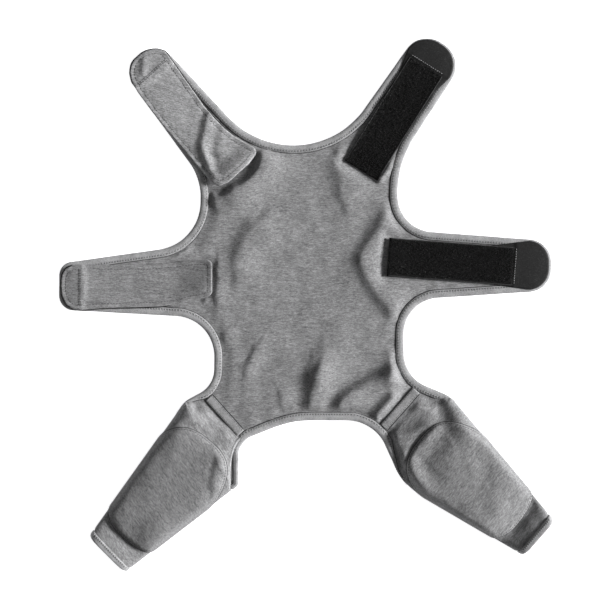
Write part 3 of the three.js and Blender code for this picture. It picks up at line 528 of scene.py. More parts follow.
def inside(points, polygon):
    """Which points lie inside a polygon."""
    result = np.zeros(len(points), bool)
    following = np.roll(polygon, -1, axis=0)
    x, y = points[:, 0], points[:, 1]
    for (ax, ay), (bx, by) in zip(polygon, following):
        if ay == by:
            continue
        crosses = (ay > y) != (by > y)
        at = (bx - ax) * (y - ay) / (by - ay) + ax
        result ^= crosses & (x < at)
    return result


def ripple(points, scale, seed):
    """Smooth random values from -1 to 1 over the plan, with a wave of about 1 / scale."""
    return np.array([noise.noise((x * scale + seed, y * scale, seed)) for x, y in points])


def ripples(points, cloth):
    return sum(height * ripple(points, scale, seed) for height, scale, seed in RIPPLES[cloth])


def signed_area(polygon):
    following = np.roll(polygon, -1, axis=0)
    return 0.5 * (polygon[:, 0] * following[:, 1] - polygon[:, 1] * following[:, 0]).sum()


def inward_normals(polygon):
    after = np.roll(polygon, -1, axis=0) - polygon
    before = polygon - np.roll(polygon, 1, axis=0)
    after /= np.linalg.norm(after, axis=1)[:, None]
    before /= np.linalg.norm(before, axis=1)[:, None]
    way = after + before
    inward = np.stack([-way[:, 1], way[:, 0]], axis=1) * math.copysign(1, signed_area(polygon))
    return inward / np.linalg.norm(inward, axis=1)[:, None]


def ring_inside(polygon, distance):
    """The polygon moved inwards, as a closed path without the stretches that fold over."""
    points = polygon + inward_normals(polygon) * distance
    kept = edge_distance(points, polygon) > 0.93 * distance
    points = points[kept & inside(points, polygon)]
    return closed(points)


def triangulate(polygon, cell, rings=()):
    """Points and triangles that fill a polygon: its corners, rings inside it and an even grid."""
    inward = inward_normals(polygon)
    extra = []
    for ring in rings:
        points = polygon + inward * ring
        kept = edge_distance(points, polygon) > 0.93 * ring
        extra.append(points[kept & inside(points, polygon)])
    low, high = polygon.min(axis=0), polygon.max(axis=0)
    rise = cell * math.sqrt(3) / 2
    grid = []
    for j, y in enumerate(np.arange(low[1], high[1], rise)):
        xs = np.arange(low[0] + (j % 2) * cell / 2, high[0], cell)
        grid.append(np.stack([xs, np.full(len(xs), y)], axis=1))
    grid = np.concatenate(grid)
    grid = grid[inside(grid, polygon)]
    clear = (rings[-1] if rings else 0) + 0.55 * cell
    grid = grid[edge_distance(grid, polygon) > clear]
    everything = np.concatenate([polygon, *extra, grid])
    edges = [(i, (i + 1) % len(polygon)) for i in range(len(polygon))]
    found = geometry.delaunay_2d_cdt([Vector(p) for p in everything], edges, [], 1, 1e-7)
    points = np.array([tuple(p) for p in found[0]])
    faces = np.array(found[2])
    used = np.unique(faces)
    renumbered = np.full(len(points), -1)
    renumbered[used] = np.arange(len(used))
    return points[used], renumbered[faces]


def rim_edges(faces):
    """Edges that only one face has, in the face's own direction."""
    pairs = {}
    for face in faces:
        for i, a in enumerate(face):
            pairs[(a, face[(i + 1) % len(face)])] = True
    return [(a, b) for a, b in pairs if (b, a) not in pairs]


def build(name, vertices, faces, material, replaces=()):
    """A piece of the object that rides on the shirt's one body."""
    mesh = bpy.data.meshes.new(name)
    mesh.from_pydata([tuple(v) for v in vertices], [], [tuple(f) for f in faces])
    mesh.validate()
    mesh.polygons.foreach_set("use_smooth", [True] * len(mesh.polygons))
    mesh.materials.append(materials[material])
    mesh.update()
    piece = bpy.data.objects.new(name, mesh)
    bpy.context.scene.collection.objects.link(piece)
    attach(piece, "root")
    if replaces:
        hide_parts(*replaces)
    return piece


def closed_sheet(top, bottom, faces):
    """Vertices and faces of a closed sheet between two surfaces that share their faces."""
    count = len(top)
    faces = [tuple(int(i) for i in face) for face in faces]
    under = [tuple(count + i for i in reversed(face)) for face in faces]
    rims = [(b, a, count + a, count + b) for a, b in rim_edges(faces)]
    return np.concatenate([top, bottom]), faces + under + rims


def raise_plan(points, heights):
    return np.column_stack([points, heights])


def build_sheet(name, points, top, bottom, faces, material, replaces=()):
    """A piece between two heights over the same points of the plan."""
    vertices, faces = closed_sheet(raise_plan(points, top), raise_plan(points, bottom), faces)
    return build(name, vertices, faces, material, replaces)


def build_strip(name, places, sides, profile, material, replaces=()):
    """A piece with a profile of (sideways, up) pairs, one list for each place, along the places."""
    profile = np.asarray(profile)
    if profile.ndim == 2:
        profile = np.repeat(profile[None], len(places), axis=0)
    rings = places[:, None, :] + profile[:, :, 0, None] * np.asarray(sides)[:, None, :]
    rings[:, :, 2] += profile[:, :, 1]
    count, size = rings.shape[:2]
    faces = []
    for j in range(count - 1):
        for i in range(size):
            k = (i + 1) % size
            faces.append((j * size + i, j * size + k, (j + 1) * size + k, (j + 1) * size + i))
    faces.append(tuple(range(size))[::-1])
    faces.append(tuple((count - 1) * size + i for i in range(size)))
    return build(name, rings.reshape(-1, 3), faces, material, replaces)


def tubes(strands, radius, sides=5, across=None):
    """Vertices and faces of many thin threads; strands is strands x points x 3."""
    strands = np.asarray(strands)
    count, length = strands.shape[:2]
    way = np.gradient(strands, axis=1)
    way /= np.maximum(np.linalg.norm(way, axis=2, keepdims=True), 1e-12)
    if across is None:
        across = np.cross(way, np.array([0, 0, 1.0]))
    else:
        across = np.repeat(across[:, None, :], length, axis=1)
    across = across / np.maximum(np.linalg.norm(across, axis=2, keepdims=True), 1e-12)
    other = np.cross(across, way)
    angles = np.arange(sides) * 2 * math.pi / sides
    taper = np.ones(length)
    taper[[0, -1]] = 0.55
    size = radius * taper[None, :, None, None]
    rings = strands[:, :, None, :] + size * (
        np.cos(angles)[None, None, :, None] * across[:, :, None, :]
        + np.sin(angles)[None, None, :, None] * other[:, :, None, :]
    )
    base = (np.arange(count) * length * sides)[:, None, None]
    ring = (np.arange(length - 1) * sides)[None, :, None]
    a = np.arange(sides)[None, None, :]
    b = (np.arange(sides)[None, None, :] + 1) % sides
    quads = np.stack([base + ring + a, base + ring + b, base + ring + sides + b,
                      base + ring + sides + a], axis=-1).reshape(-1, 4)
    faces = [tuple(q) for q in quads.tolist()]
    for k in range(count):
        first = k * length * sides
        last = first + (length - 1) * sides
        faces.append(tuple(range(first, first + sides))[::-1])
        faces.append(tuple(range(last, last + sides)))
    return rings.reshape(-1, 3), faces


def build_threads(name, strands, thickness, material, sides=5, across=None):
    vertices, faces = tubes(strands, RADIUS[thickness], sides, across)
    return build(name, vertices, faces, material)


# Materials


class Look:
    """A material's shader, and the nodes that vary it over the surface."""

    def __init__(self, name, roughness, sheen=0.0, specular=0.3):
        self.material = bpy.data.materials.new(name)
        self.material.use_nodes = True
        self.nodes, self.links = self.material.node_tree.nodes, self.material.node_tree.links
        self.shader = self.nodes["Principled BSDF"]
        for socket, value in (("Roughness", roughness), ("Specular IOR Level", specular),
                              ("Sheen Weight", sheen), ("Sheen Roughness", 0.5)):
            self.shader.inputs[socket].default_value = value

    def add(self, kind, **values):
        node = self.nodes.new("ShaderNode" + kind)
        for socket, value in values.items():
            node.inputs[socket].default_value = value
        return node

    def grain(self, degrees, scale):
        """Texture coordinates turned so that X runs along the grain, then scaled."""
        turn = self.add("Mapping", Rotation=(0, 0, math.radians(-degrees)))
        size = self.add("Mapping", Scale=scale)
        self.links.new(self.add("TexCoord").outputs["Object"], turn.inputs["Vector"])
        self.links.new(turn.outputs["Vector"], size.inputs["Vector"])
        return size.outputs["Vector"]

    def noise(self, scale, detail, degrees=0):
        field = self.add("TexNoise", Scale=1, Detail=detail, Roughness=0.55)
        self.links.new(self.grain(degrees, scale), field.inputs["Vector"])
        return field.outputs["Fac"]

    def weighted(self, parts):
        """Sum of sockets, each times its weight."""
        total = None
        for socket, weight in parts:
            step = self.nodes.new("ShaderNodeMath")
            step.operation = "MULTIPLY_ADD"
            step.inputs[1].default_value = weight
            step.inputs[2].default_value = 0
            self.links.new(socket, step.inputs[0])
            if total is not None:
                self.links.new(total, step.inputs[2])
            total = step.outputs[0]
        return total

    def colour(self, socket, stops):
        """Greys, a little cool, from positions of a value and their levels."""
        scale = self.add("ValToRGB")
        elements = scale.color_ramp.elements
        while len(elements) < len(stops):
            elements.new(0.5)
        for element, (position, level) in zip(elements, stops):
            element.position = position
            element.color = (level, level, level * 1.015, 1)
        self.links.new(socket, scale.inputs["Fac"])
        self.links.new(scale.outputs["Color"], self.shader.inputs["Base Color"])

    def bump(self, height, strength, distance):
        bump = self.add("Bump", Strength=strength, Distance=distance)
        self.links.new(height, bump.inputs["Height"])
        self.links.new(bump.outputs["Normal"], self.shader.inputs["Normal"])


def jersey(name, level, degrees):
    """Heather jersey: melange streaks along the grain, specks and a fine knit."""
    look = Look(name, 0.9, sheen=0.12, specular=0.2)
    streak = look.noise((300, 1150, 1150), 3, degrees)
    long = look.noise((90, 560, 560), 2, degrees)
    speck = look.noise((900, 1700, 1700), 2, degrees)
    patch = look.noise((60, 90, 90), 2, degrees)
    total = look.weighted([(streak, 0.42), (long, 0.19), (speck, 0.31), (patch, 0.08)])
    look.colour(total, [(0.34, level * 0.3), (0.5, level), (0.66, level * 1.85)])
    wale = look.add("TexWave", Scale=1, Distortion=1.4, Detail=1)
    wale.bands_direction = "X"
    look.links.new(look.grain(degrees, (330, 330, 330)), wale.inputs["Vector"])
    knit = look.weighted([(wale.outputs["Fac"], 0.35), (streak, 0.4), (speck, 0.6)])
    look.bump(knit, 0.55, 0.0004)
    return look.material


def rib(name, level):
    """Fine rib jersey of the bindings and bands."""
    look = Look(name, 0.86, sheen=0.12, specular=0.25)
    fine, broad = look.noise((950, 950, 950), 3), look.noise((120, 120, 120), 2)
    total = look.weighted([(fine, 0.6), (broad, 0.4)])
    look.colour(total, [(0.34, level * 0.62), (0.5, level), (0.66, level * 1.4)])
    look.bump(fine, 0.4, 0.0003)
    return look.material


def thread(name, level):
    """Sewing thread with its twist."""
    look = Look(name, 0.55, specular=0.4)
    twist = look.noise((2600, 2600, 2600), 1)
    look.colour(twist, [(0.3, level * 0.7), (0.7, level * 1.25)])
    look.bump(twist, 0.3, 0.0001)
    return look.material


def nylon(name, level, roughness, weave):
    """Black nylon: woven backing, satin tape or hooks."""
    look = Look(name, roughness, specular=0.25)
    cloud = look.noise((weave, weave, weave), 2)
    look.colour(cloud, [(0.3, level * 0.5), (0.55, level), (0.8, level * 2.6)])
    look.bump(cloud, 0.4, 0.00015)
    return look.material


PANEL_LEVEL = 0.193
PAD_LEVEL = 0.185
BINDING_LEVEL = 0.27
materials = {
    "panel": jersey("panel_jersey", PANEL_LEVEL, 0),
    "neck_tab": jersey("neck_tab_jersey", 0.25, -14),
    "chest_tab": jersey("chest_tab_jersey", PANEL_LEVEL, 0),
    "left_sleeve": jersey("left_sleeve_jersey", PANEL_LEVEL, -57),
    "right_sleeve": jersey("right_sleeve_jersey", PANEL_LEVEL, 52),
    # The left pad is the same jersey as the right one, given a darker level as painted shade
    "left_pad": jersey("left_pad_shaded_jersey", 0.162, -57),
    "right_pad": jersey("right_pad_jersey", PAD_LEVEL, 52),
    "binding": rib("binding_rib", BINDING_LEVEL),
    "band": rib("seam_band_rib", 0.235),
    "thread": thread("grey_thread", 0.34),
    # Near-black thread for the real stitches, also used for the dark cords and dashes that are painted
    # shade at steps and grooves
    "dark_thread_and_shade": thread("dark_thread_and_shade", 0.02),
    "backing": nylon("hook_backing", 0.0035, 0.9, 900),
    "hooks": nylon("hook_nylon", 0.006, 0.5, 600),
    # Lighter nylon for a few hooks, as painted glints
    "glint": nylon("hook_painted_glint", 0.035, 0.4, 600),
    "selvedge": nylon("tape_selvedge", 0.045, 0.7, 900),
    "satin": nylon("tape_satin", 0.010, 0.62, 900),
}


# The panel


def seam_of(side):
    """Straight seam of a sleeve, met with the inset outline at both ends."""
    limb = limbs[side + "Sleeve"]
    along = turned(limb.across, SEAM_TILT_DEGREES[side])
    outwards = np.array([along[1], -along[0]])
    if outwards @ limb.axis < 0:
        outwards = -outwards
    rim = loop_points + loop_inwards * EDGE_INSET
    away = (rim - limb.root) @ outwards
    reach = (rim - limb.root) @ along
    crossings = []
    for i in range(len(rim)):
        j = (i + 1) % len(rim)
        if (away[i] > 0) == (away[j] > 0):
            continue
        share = away[i] / (away[i] - away[j])
        met = mix(reach[i], reach[j], share)
        if abs(met) < limb.width:
            crossings.append(met)
    outer = max(value for value in crossings if value < 0)
    inner = min(value for value in crossings if value > 0)
    return {
        "limb": limb, "along": along, "outwards": outwards, "outer": outer, "inner": inner,
        "at": lambda distance: limb.root + along * distance,
    }


seams = {side: seam_of(side) for side in ("left", "right")}


def panel_polygon():
    """Inset outline with each sleeve cut off at its seam."""
    rim = loop_points + loop_inwards * EDGE_INSET
    polygon = []
    cut_by = None
    for point in rim:
        beyond = None
        for side, seam in seams.items():
            offset = point - seam["limb"].root
            near = abs(offset @ seam["along"]) < seam["limb"].width
            if near and offset @ seam["outwards"] > -GAP / 2:
                beyond = side
        if beyond and not cut_by:
            polygon.append(seam_end(beyond, polygon[-1]))
        if cut_by and not beyond:
            polygon.append(seam_end(cut_by, point))
        if not beyond:
            polygon.append(point)
        cut_by = beyond
    return even_ring(np.array(polygon), EDGE_STEP)


def seam_end(side, point):
    seam = seams[side]
    ends = [seam["at"](seam[end]) - seam["outwards"] * GAP / 2 for end in ("outer", "inner")]
    return min(ends, key=lambda end: np.linalg.norm(end - point))


def cover_clearance(points):
    """Distance to the nearest tape or tab that lies on the panel, nought under it."""
    nearest = np.full(len(points), 1.0)
    for tape in TAPES.values():
        limb = limbs[tape["frame"]]
        start, end = limb.at(*tape["inner"]), limb.at(*tape["outer"])
        nearest = np.minimum(nearest, box_distance(points, start, end, HOOK_TAPE_WIDTH / 2))
    for name, half, across in (("leftNeck", 0.026, 0.14), ("leftChest", 0.022, 0)):
        limb = limbs[name]
        start, end = limb.at(-0.02, across), limb.at(0.95, across)
        nearest = np.minimum(nearest, box_distance(points, start, end, half))
    return nearest


def box_distance(points, start, end, half):
    way = unit(end - start)
    offset = points - (start + end) / 2
    past = np.abs(offset @ way) - np.linalg.norm(end - start) / 2
    aside = np.abs(offset @ np.array([-way[1], way[0]])) - half
    return np.hypot(np.maximum(past, 0), np.maximum(aside, 0))


def fold_heights(points, folds, limb):
    total = np.zeros(len(points))
    for fold in folds:
        crest = np.array([limb.at(*spot) for spot in fold.crest])
        crest = soften(resample(crest, 0.004)[0], 3)
        distance, offset, _ = nearest_on_path(points, crest)
        steep, gentle = fold.steep * limb.width, fold.gentle * limb.width
        breadth = mix(steep, gentle, smooth(0.5 + offset / steep))
        total += fold.height * FOLD_HEIGHT * np.exp(-(distance / breadth) ** 2)
    return total


def soften(path, passes):
    path = path.copy()
    for _ in range(passes):
        path[1:-1] = (path[:-2] + 2 * path[1:-1] + path[2:]) / 4
    return path


def make_panel():
    polygon = panel_polygon()
    points, faces = triangulate(polygon, CELL)
    edge, _, along = nearest_on_path(points, polygon, closed=True)
    rise = {kind: rise_from(edge, spec) for kind, spec in PANEL_RISES.items()}
    uncovered = rise_from(cover_clearance(points), COVER_RISE)
    folds = fold_heights(points, FOLDS, limbs["body"])
    pucker = np.array([noise.noise((s * 85, 1.7, 0)) + 0.5 * noise.noise((s * 190, 4.2, 0))
                       for s in along])
    pucker *= 0.0008 * bell(edge, 0.012, 0.008)
    lift = rise["waves"] * (REST_LIFT + ripples(points, "panel")) + rise["folds"] * folds
    floor = SLOT_LIFT + uncovered * np.maximum(lift, -SLOT_LIFT)
    floor += pucker * (0.3 + 0.7 * uncovered) + ripples(points, "panel_fine") * rise["fine"]
    beside = rise["creases"] * smooth(cover_clearance(points) / 0.0016 + 0.15)
    for name, fold in STRAP_FOLDS:
        floor += beside * fold_heights(points, [fold], limbs[name])
    floor = np.maximum(floor, 0.0002)
    panel = build_sheet("shirt_panel", points, floor + CLOTH, floor, faces, "panel",
                        ["body_panel"])
    size = polygon.max(axis=0) - polygon.min(axis=0)
    return panel, (float(size[0]), float(size[1])), float(abs(signed_area(polygon)))


# Bindings

# Section of a folded binding: share of its width inwards from the edge, and height as a share
# of the whole height; the first points go round the outside, the last ones round the slot.
BINDING_SECTION = [
    (1.0, 0.04), (0.5, 0.0), (0.2, 0.03), (0.07, 0.12), (0.01, 0.3), (0.0, 0.5), (0.02, 0.7),
    (0.08, 0.86), (0.2, 0.95), (0.4, 1.02), (0.56, 1.04), (0.68, 1.0), (0.8, 0.96),
    (0.95, 0.92), (1.0, 0.84), (0.97, 0.765), (0.6, 0.765), (0.25, 0.76), (0.17, 0.66),
    (0.15, 0.5), (0.17, 0.34), (0.25, 0.24), (0.6, 0.235), (0.97, 0.235),
]
RIB_POINTS = {10: 0.4, 11: 0.8, 12: 1.0, 13: 0.7}


def taper_width(along, name):
    """Share of a binding's full width at lengths along it."""
    tapers = BINDING_TAPERS.get(name, {})
    share = np.ones(len(along))
    for end, distance in (("start", along), ("end", along[-1] - along)):
        if end in tapers:
            xs, ys = zip(*tapers[end])
            share = np.minimum(share, np.interp(distance, xs, ys))
    return share


def make_binding(name, points, inwards):
    """A strip folded over the cloth's edge, drawn in a little at each stitch."""
    points, inwards = resample(points, STITCH_PITCH / 3, inwards)
    inwards = inwards / np.linalg.norm(inwards, axis=1)[:, None]
    count = len(points)
    along = np.arange(count) * STITCH_PITCH / 3
    drawn = 0.5 + 0.5 * np.cos(2 * math.pi * along / STITCH_PITCH)
    profile = np.repeat(np.array(BINDING_SECTION)[None], count, axis=0)
    widths = taper_width(along, name)
    profile[:, :, 0] *= BINDING_WIDTH * widths[:, None]
    profile[:, :, 1] *= BINDING_HEIGHT * mix(0.72, 1.0, smooth(widths / 0.6))[:, None]
    for index, share in RIB_POINTS.items():
        profile[:, index, 1] -= 0.0004 * share * drawn
    wander = np.array([noise.noise((s * 60, 2.2, len(name))) for s in along])
    profile[:, :, 0] += (0.0002 * wander)[:, None]
    profile[:, 6:16, 1] *= (1 + 0.06 * wander)[:, None]
    places = raise_plan(points, np.zeros(count))
    sides = raise_plan(inwards, np.zeros(count))
    return build_strip(name + "_strip", places, sides, profile, "binding", [name])


def make_ladder(name, points, inwards):
    """Cover stitch over the strip's inner edge: light bars, dark dashes between them as painted shade,
    and a dark cord along the strip's foot as painted shade where it steps down onto the panel.
    """
    points, inwards = resample(points, STITCH_PITCH, inwards)
    inwards = inwards / np.linalg.norm(inwards, axis=1)[:, None]
    along = np.arange(len(points)) * STITCH_PITCH
    widths = BINDING_WIDTH * taper_width(along, name)
    shares = np.linspace(0, 1, 5)
    bars, gaps = [], []
    for k in np.flatnonzero(widths > 0.75 * BINDING_WIDTH):
        reach = mix(0.6, 0.9, shares) * widths[k]
        arch = BINDING_HEIGHT * mix(1.0, 0.93, shares) + 0.00012 * np.sin(math.pi * shares)
        bars.append(np.column_stack([points[k] + inwards[k] * reach[:, None], arch]))
        # Dark dashes between the bars, as painted shade
        if k + 1 < len(points):
            run = np.linspace(0.3, 0.7, 4)[:, None]
            dash = mix(points[k], points[k + 1], run) + inwards[k] * 0.78 * widths[k]
            gaps.append(np.column_stack([dash, np.full(4, BINDING_HEIGHT * 0.945)]))
    # A dark cord at the strip's foot, as painted shade where the binding steps down onto the panel
    shade_cord = points + inwards * (widths + 0.0003)[:, None]
    level = np.full(len(points), OVER_PANEL - 0.0001)
    seam = [raise_plan(shade_cord, level)]
    return [
        build_threads(name + "_bars", bars, "ladder", "thread"),
        build_threads(name + "_gaps", gaps, "ladder", "dark_thread_and_shade"),
        build_threads(name + "_seam", seam, "binding_shade_line", "dark_thread_and_shade"),
    ]


def make_bindings():
    pieces = []
    for name, (start, end) in BINDINGS.items():
        points, inwards = stretch(start, end, *BINDING_RUN_ON.get(name, (0, 0)))
        pieces.append(make_binding(name, points, inwards))
        pieces += make_ladder(name, points, inwards)
    return pieces


# Sleeves


def table_value(table, share, column):
    xs = [row[0] for row in table]
    ys = [row[column] for row in table]
    return np.interp(share, xs, ys)


def section_value(side, share, column):
    """A sleeve section table read softly, by the mean of close readings."""
    offsets = np.linspace(-0.05, 0.05, 7)
    table = SLEEVE_SECTIONS[side]
    return np.mean([table_value(table, share + o, column) for o in offsets], axis=0)


class SleeveShape:
    def __init__(self, side):
        self.side = side
        self.limb = limbs[side + "Sleeve"]
        corner = {end: corner_points[f"{side}_{end}"] for end in (
            "cuff_outer", "sleeve_outer", "cuff_inner", "sleeve_inner")}
        mouth_inner = mix(corner["cuff_inner"], corner["sleeve_inner"], MOUTH_SHARE[side])
        self.outer = (corner["cuff_outer"], corner["sleeve_outer"])
        self.inner = (corner["cuff_inner"], mouth_inner)
        self.length = np.linalg.norm(self.outer[1] - self.outer[0])
        self.stations = np.linspace(0.05, 0.985, 48)
        outer, inner = (mix(ends[0], ends[1], self.stations[:, None])
                        for ends in (self.outer, self.inner))
        self.shift_outer = self.shifts(outer, inner)
        self.shift_inner = self.shifts(inner, outer)

    def shifts(self, points, others):
        """How far outwards the outline lies from points on a straight edge."""
        return soften(np.array([
            crossing(point, unit(point - other), 0.008) for point, other in zip(points, others)
        ]), 2)

    def edges(self, along):
        """Both edges of the outline, with the cuff's corners rounded off."""
        along = np.asarray(along, float)
        outer = mix(self.outer[0], self.outer[1], along[..., None])
        inner = mix(self.inner[0], self.inner[1], along[..., None])
        way = (outer - inner) / np.linalg.norm(outer - inner, axis=-1)[..., None]
        cornered = -0.0022 * np.maximum(1 - along * self.length / 0.0022, 0) ** 2
        shift_outer = np.interp(along, self.stations, self.shift_outer) + cornered
        shift_inner = np.interp(along, self.stations, self.shift_inner) + cornered
        return outer + way * shift_outer[..., None], inner - way * shift_inner[..., None]

    def plan(self, along, column, grow=0.0):
        """grow widens the tube by that much on each side."""
        outer, inner = self.edges(along)
        half = np.linalg.norm(inner - outer, axis=-1) / 2
        cuffed = 1 - smooth((np.asarray(along) * self.length - CUFF_WIDTH) / 0.003)
        held = (half - mix(SLEEVE_EDGE, SLEEVE_INSET, cuffed) + grow) / half
        share = (1 + np.asarray(column) * held) / 2
        return outer + (inner - outer) * share[..., None]

    def underside(self, along):
        return section_value(self.side, along, 2) * SLOT_LIFT

    def front(self, along, column, grow=0.0):
        """Height of the outside of the front."""
        low = self.underside(along)
        kept = mix(1, MOUTH_CROWN[self.side], smooth((np.asarray(along) - 0.76) / 0.24))
        full = low + section_value(self.side, along, 1) * kept * SLEEVE_CROWN + 2 * CLOTH
        edge = low + FOLD_EDGE
        swell = np.maximum(1 - np.abs(column) ** TUBE_POWER[self.side], 0) ** 0.5
        return edge + (full + grow - edge) * swell

    def back(self, along, column, grow=0.0):
        low = self.underside(along)
        edge = low + FOLD_EDGE
        swell = np.maximum(1 - np.abs(column) ** 8, 0) ** 0.5
        return edge - (edge - low + grow) * swell

    def place(self, points):
        """Share along and column across for points on the plan."""
        along = np.full(len(points), 0.5)
        for _ in range(12):
            low, high = self.plan(along, -1.0), self.plan(along, 1.0)
            across = high - low
            column = 2 * ((points - low) * across).sum(axis=1) / (across ** 2).sum(axis=1) - 1
            here = self.plan(along, column)
            step = self.plan(np.ones(len(points)), column) - self.plan(np.zeros(len(points)), column)
            along = np.clip(along + ((points - here) * step).sum(axis=1) / (step ** 2).sum(axis=1),
                            0, 1.6)
        return along, column


sleeves = {side: SleeveShape(side) for side in ("left", "right")}

# Soft folds of the sleeves, in shares of the sleeve's frame
SLEEVE_FOLDS = {
    "left": [
        Fold([(0.07, -0.3), (0.2, -0.36)], 0.1, 0.14, 0.22),
        Fold([(0.2, 0.3), (0.34, 0.46)], 0.05, 0.1, 0.3),
        Fold([(0.1, 0.2), (0.3, 0.3)], 0.16, 0.2, 0.2),
    ],
    "right": [
        Fold([(0.31, -0.43), (0.25, -0.33), (0.2, -0.177), (0.17, -0.01), (0.118, 0.2),
              (0.07, 0.35)], 0.09, 0.16, 0.9),
        Fold([(0.03, -0.1), (0.13, -0.27)], 0.035, 0.1, 0.3),
        Fold([(0.085, -0.4), (0.16, -0.338), (0.225, -0.26)], 0.12, 0.12, -0.75),
        Fold([(0.2, 0.42), (0.3, 0.5), (0.37, 0.54)], 0.06, 0.12, 0.75),
        Fold([(0.9, -0.05), (0.86, 0.2)], 0.07, 0.12, 0.3),
    ],
}


def edge_to(seam, corner, distance):
    """The inset outline from a sleeve's corner to its seam."""
    end = seam["at"](distance) + seam["outwards"] * GAP / 2
    rim = loop_points + loop_inwards * (EDGE_INSET + 2 * GAP)
    start = int(np.linalg.norm(loop_points - corner, axis=1).argmin())
    count = len(rim)
    ahead = np.linalg.norm(loop_points[(start + 1) % count] - end)
    step = 1 if ahead < np.linalg.norm(loop_points[start] - end) else -1
    path = []
    i = start
    while (rim[i] - seam["limb"].root) @ seam["outwards"] > GAP and len(path) < count:
        path.append(rim[i])
        i = (i + step) % count
    return np.array(path + [end])


def along_path(path, shares):
    lengths = np.linalg.norm(np.diff(path, axis=0), axis=1)
    reached = np.concatenate([[0], np.cumsum(lengths)])
    wanted = np.asarray(shares) * reached[-1]
    return np.stack([np.interp(wanted, reached, path[:, i]) for i in range(2)], axis=1)


def yoke_edge(side, end):
    """Path of a yoke's edge from the tube's mouth to the seam."""
    seam = seams[side]
    if (side, end) == ("left", "inner"):
        path = np.array([seam["limb"].at(*spot) for spot in OPENING_FRONT])
        finish = seam["at"](seam["inner"]) + seam["outwards"] * GAP / 2
        return soften(resample(np.concatenate([path, [finish]]), 0.003)[0], 4)
    return edge_to(seam, corner_points[f"{side}_sleeve_{end}"], seam[end])


def make_sleeve(side):
    """Hollow flattened tube whose front runs on as a yoke to the seam."""
    shape = sleeves[side]
    seam = seams[side]
    rows = round(shape.length / CELL)
    half_columns = 19
    columns = np.sin(np.linspace(-math.pi / 2, math.pi / 2, 2 * half_columns + 1))
    outside, inside_, loops = [], [], []

    def add(points, heights, inner_points, inner_heights):
        first = sum(len(part) for part in outside)
        outside.append(raise_plan(points, heights))
        inside_.append(raise_plan(inner_points, inner_heights))
        return list(range(first, first + len(points)))

    for along in np.linspace(0, 1, rows + 1):
        share = np.full(len(columns), along)
        middle = shape.underside(share) + FOLD_EDGE
        points = shape.plan(share, columns)
        within = shape.plan(share, columns, -1.8 * CLOTH)
        top = shape.front(share, columns)
        top = top + sleeve_relief(side, points, columns)
        low = shape.back(share, columns)
        front = add(points, top, within, middle + np.maximum(top - CLOTH - middle, 0))
        back = add(points[1:-1], low[1:-1], within[1:-1],
                   (middle - np.maximum(middle - low - CLOTH, 0))[1:-1])
        loops.append(front + back[::-1] + front[:1])
    last = loops[-1][:len(columns)]
    mouth = np.concatenate(outside)[last]
    outer_edge, inner_edge = yoke_edge(side, "outer"), yoke_edge(side, "inner")
    shares = (columns + 1) / 2
    target = np.array([seam["at"](mix(seam["outer"], seam["inner"], s)) for s in shares])
    target = target + seam["outwards"] * GAP / 2
    yoke, rim = [last], [mouth[-1]]
    yoke_rows = 34
    for step in range(1, yoke_rows + 1):
        t = step / yoke_rows
        points = mix(mouth[:, :2], target, t)
        held = smooth(t / 0.08)
        ends = (mix(mouth[0, :2], target[0], t), mix(mouth[-1, :2], target[-1], t))
        drift_outer = held * (along_path(outer_edge, [t])[0] - ends[0])
        drift_inner = held * (along_path(inner_edge, [t])[0] - ends[1])
        points = points + np.outer((1 - shares) ** 2, drift_outer) + np.outer(shares ** 2, drift_inner)
        eased = smooth(t / 0.55)
        edge = mix(FOLD_EDGE, OVER_PANEL - GAP, smooth(t / 0.3))
        crown = table_value(YOKE_SECTIONS, t, 1) * MOUTH_CROWN[side] * SLEEVE_CROWN
        crown += (2 * CLOTH - FOLD_EDGE) * (1 - smooth(t / 0.3)) + 0.0012 * smooth(t / 0.3)
        swell = np.maximum(1 - np.abs(columns) ** mix(TUBE_POWER[side], 2.4, eased), 0)
        swell = swell ** mix(0.5, 1.1, eased)
        flat = smooth(((points - seam["limb"].root) @ seam["outwards"] - 0.0055) / 0.007)
        bound = smooth((t - 0.08) / 0.3)
        rims = [(outer_edge, BINDING_WIDTH)]
        if side == "right":
            rims.append((inner_edge, BINDING_WIDTH * smooth(t)))
        for path, width in rims:
            ramp_width = YOKE_RAMP[side]
            clear = smooth((nearest_on_path(points, path)[0] - 0.85 * width) / ramp_width)
            flat = flat * mix(1, clear, bound)
        relief = sleeve_relief(side, points, columns) * flat
        height = edge + crown * swell * flat + relief
        if side == "left":
            open_ = smooth(t / 0.15) * smooth((1 - t) / 0.25)
            height = height + OPENING_LIFT * open_ * smooth((columns + 0.1) / 0.8)
        yoke.append(add(points, height, points, height - CLOTH))
        rim.append(outside[-1][-1])
    faces = grid_faces(loops) + grid_faces(yoke)
    vertices, faces = closed_sheet(np.concatenate(outside), np.concatenate(inside_), faces)
    sleeve = build(side + "_sleeve_cloth", vertices, faces, side + "_sleeve",
                   [side + "_sleeve"])
    return sleeve, np.array(rim)


# Section of the narrow binding on an opening's front edge, as shares of its width: inwards, up
FRONT_BINDING_SECTION = [
    (0.9, -0.66), (0.05, -0.74), (-0.15, -0.4), (-0.15, -0.05), (0.05, 0.16), (0.45, 0.22),
    (0.8, 0.16), (0.9, -0.05),
]


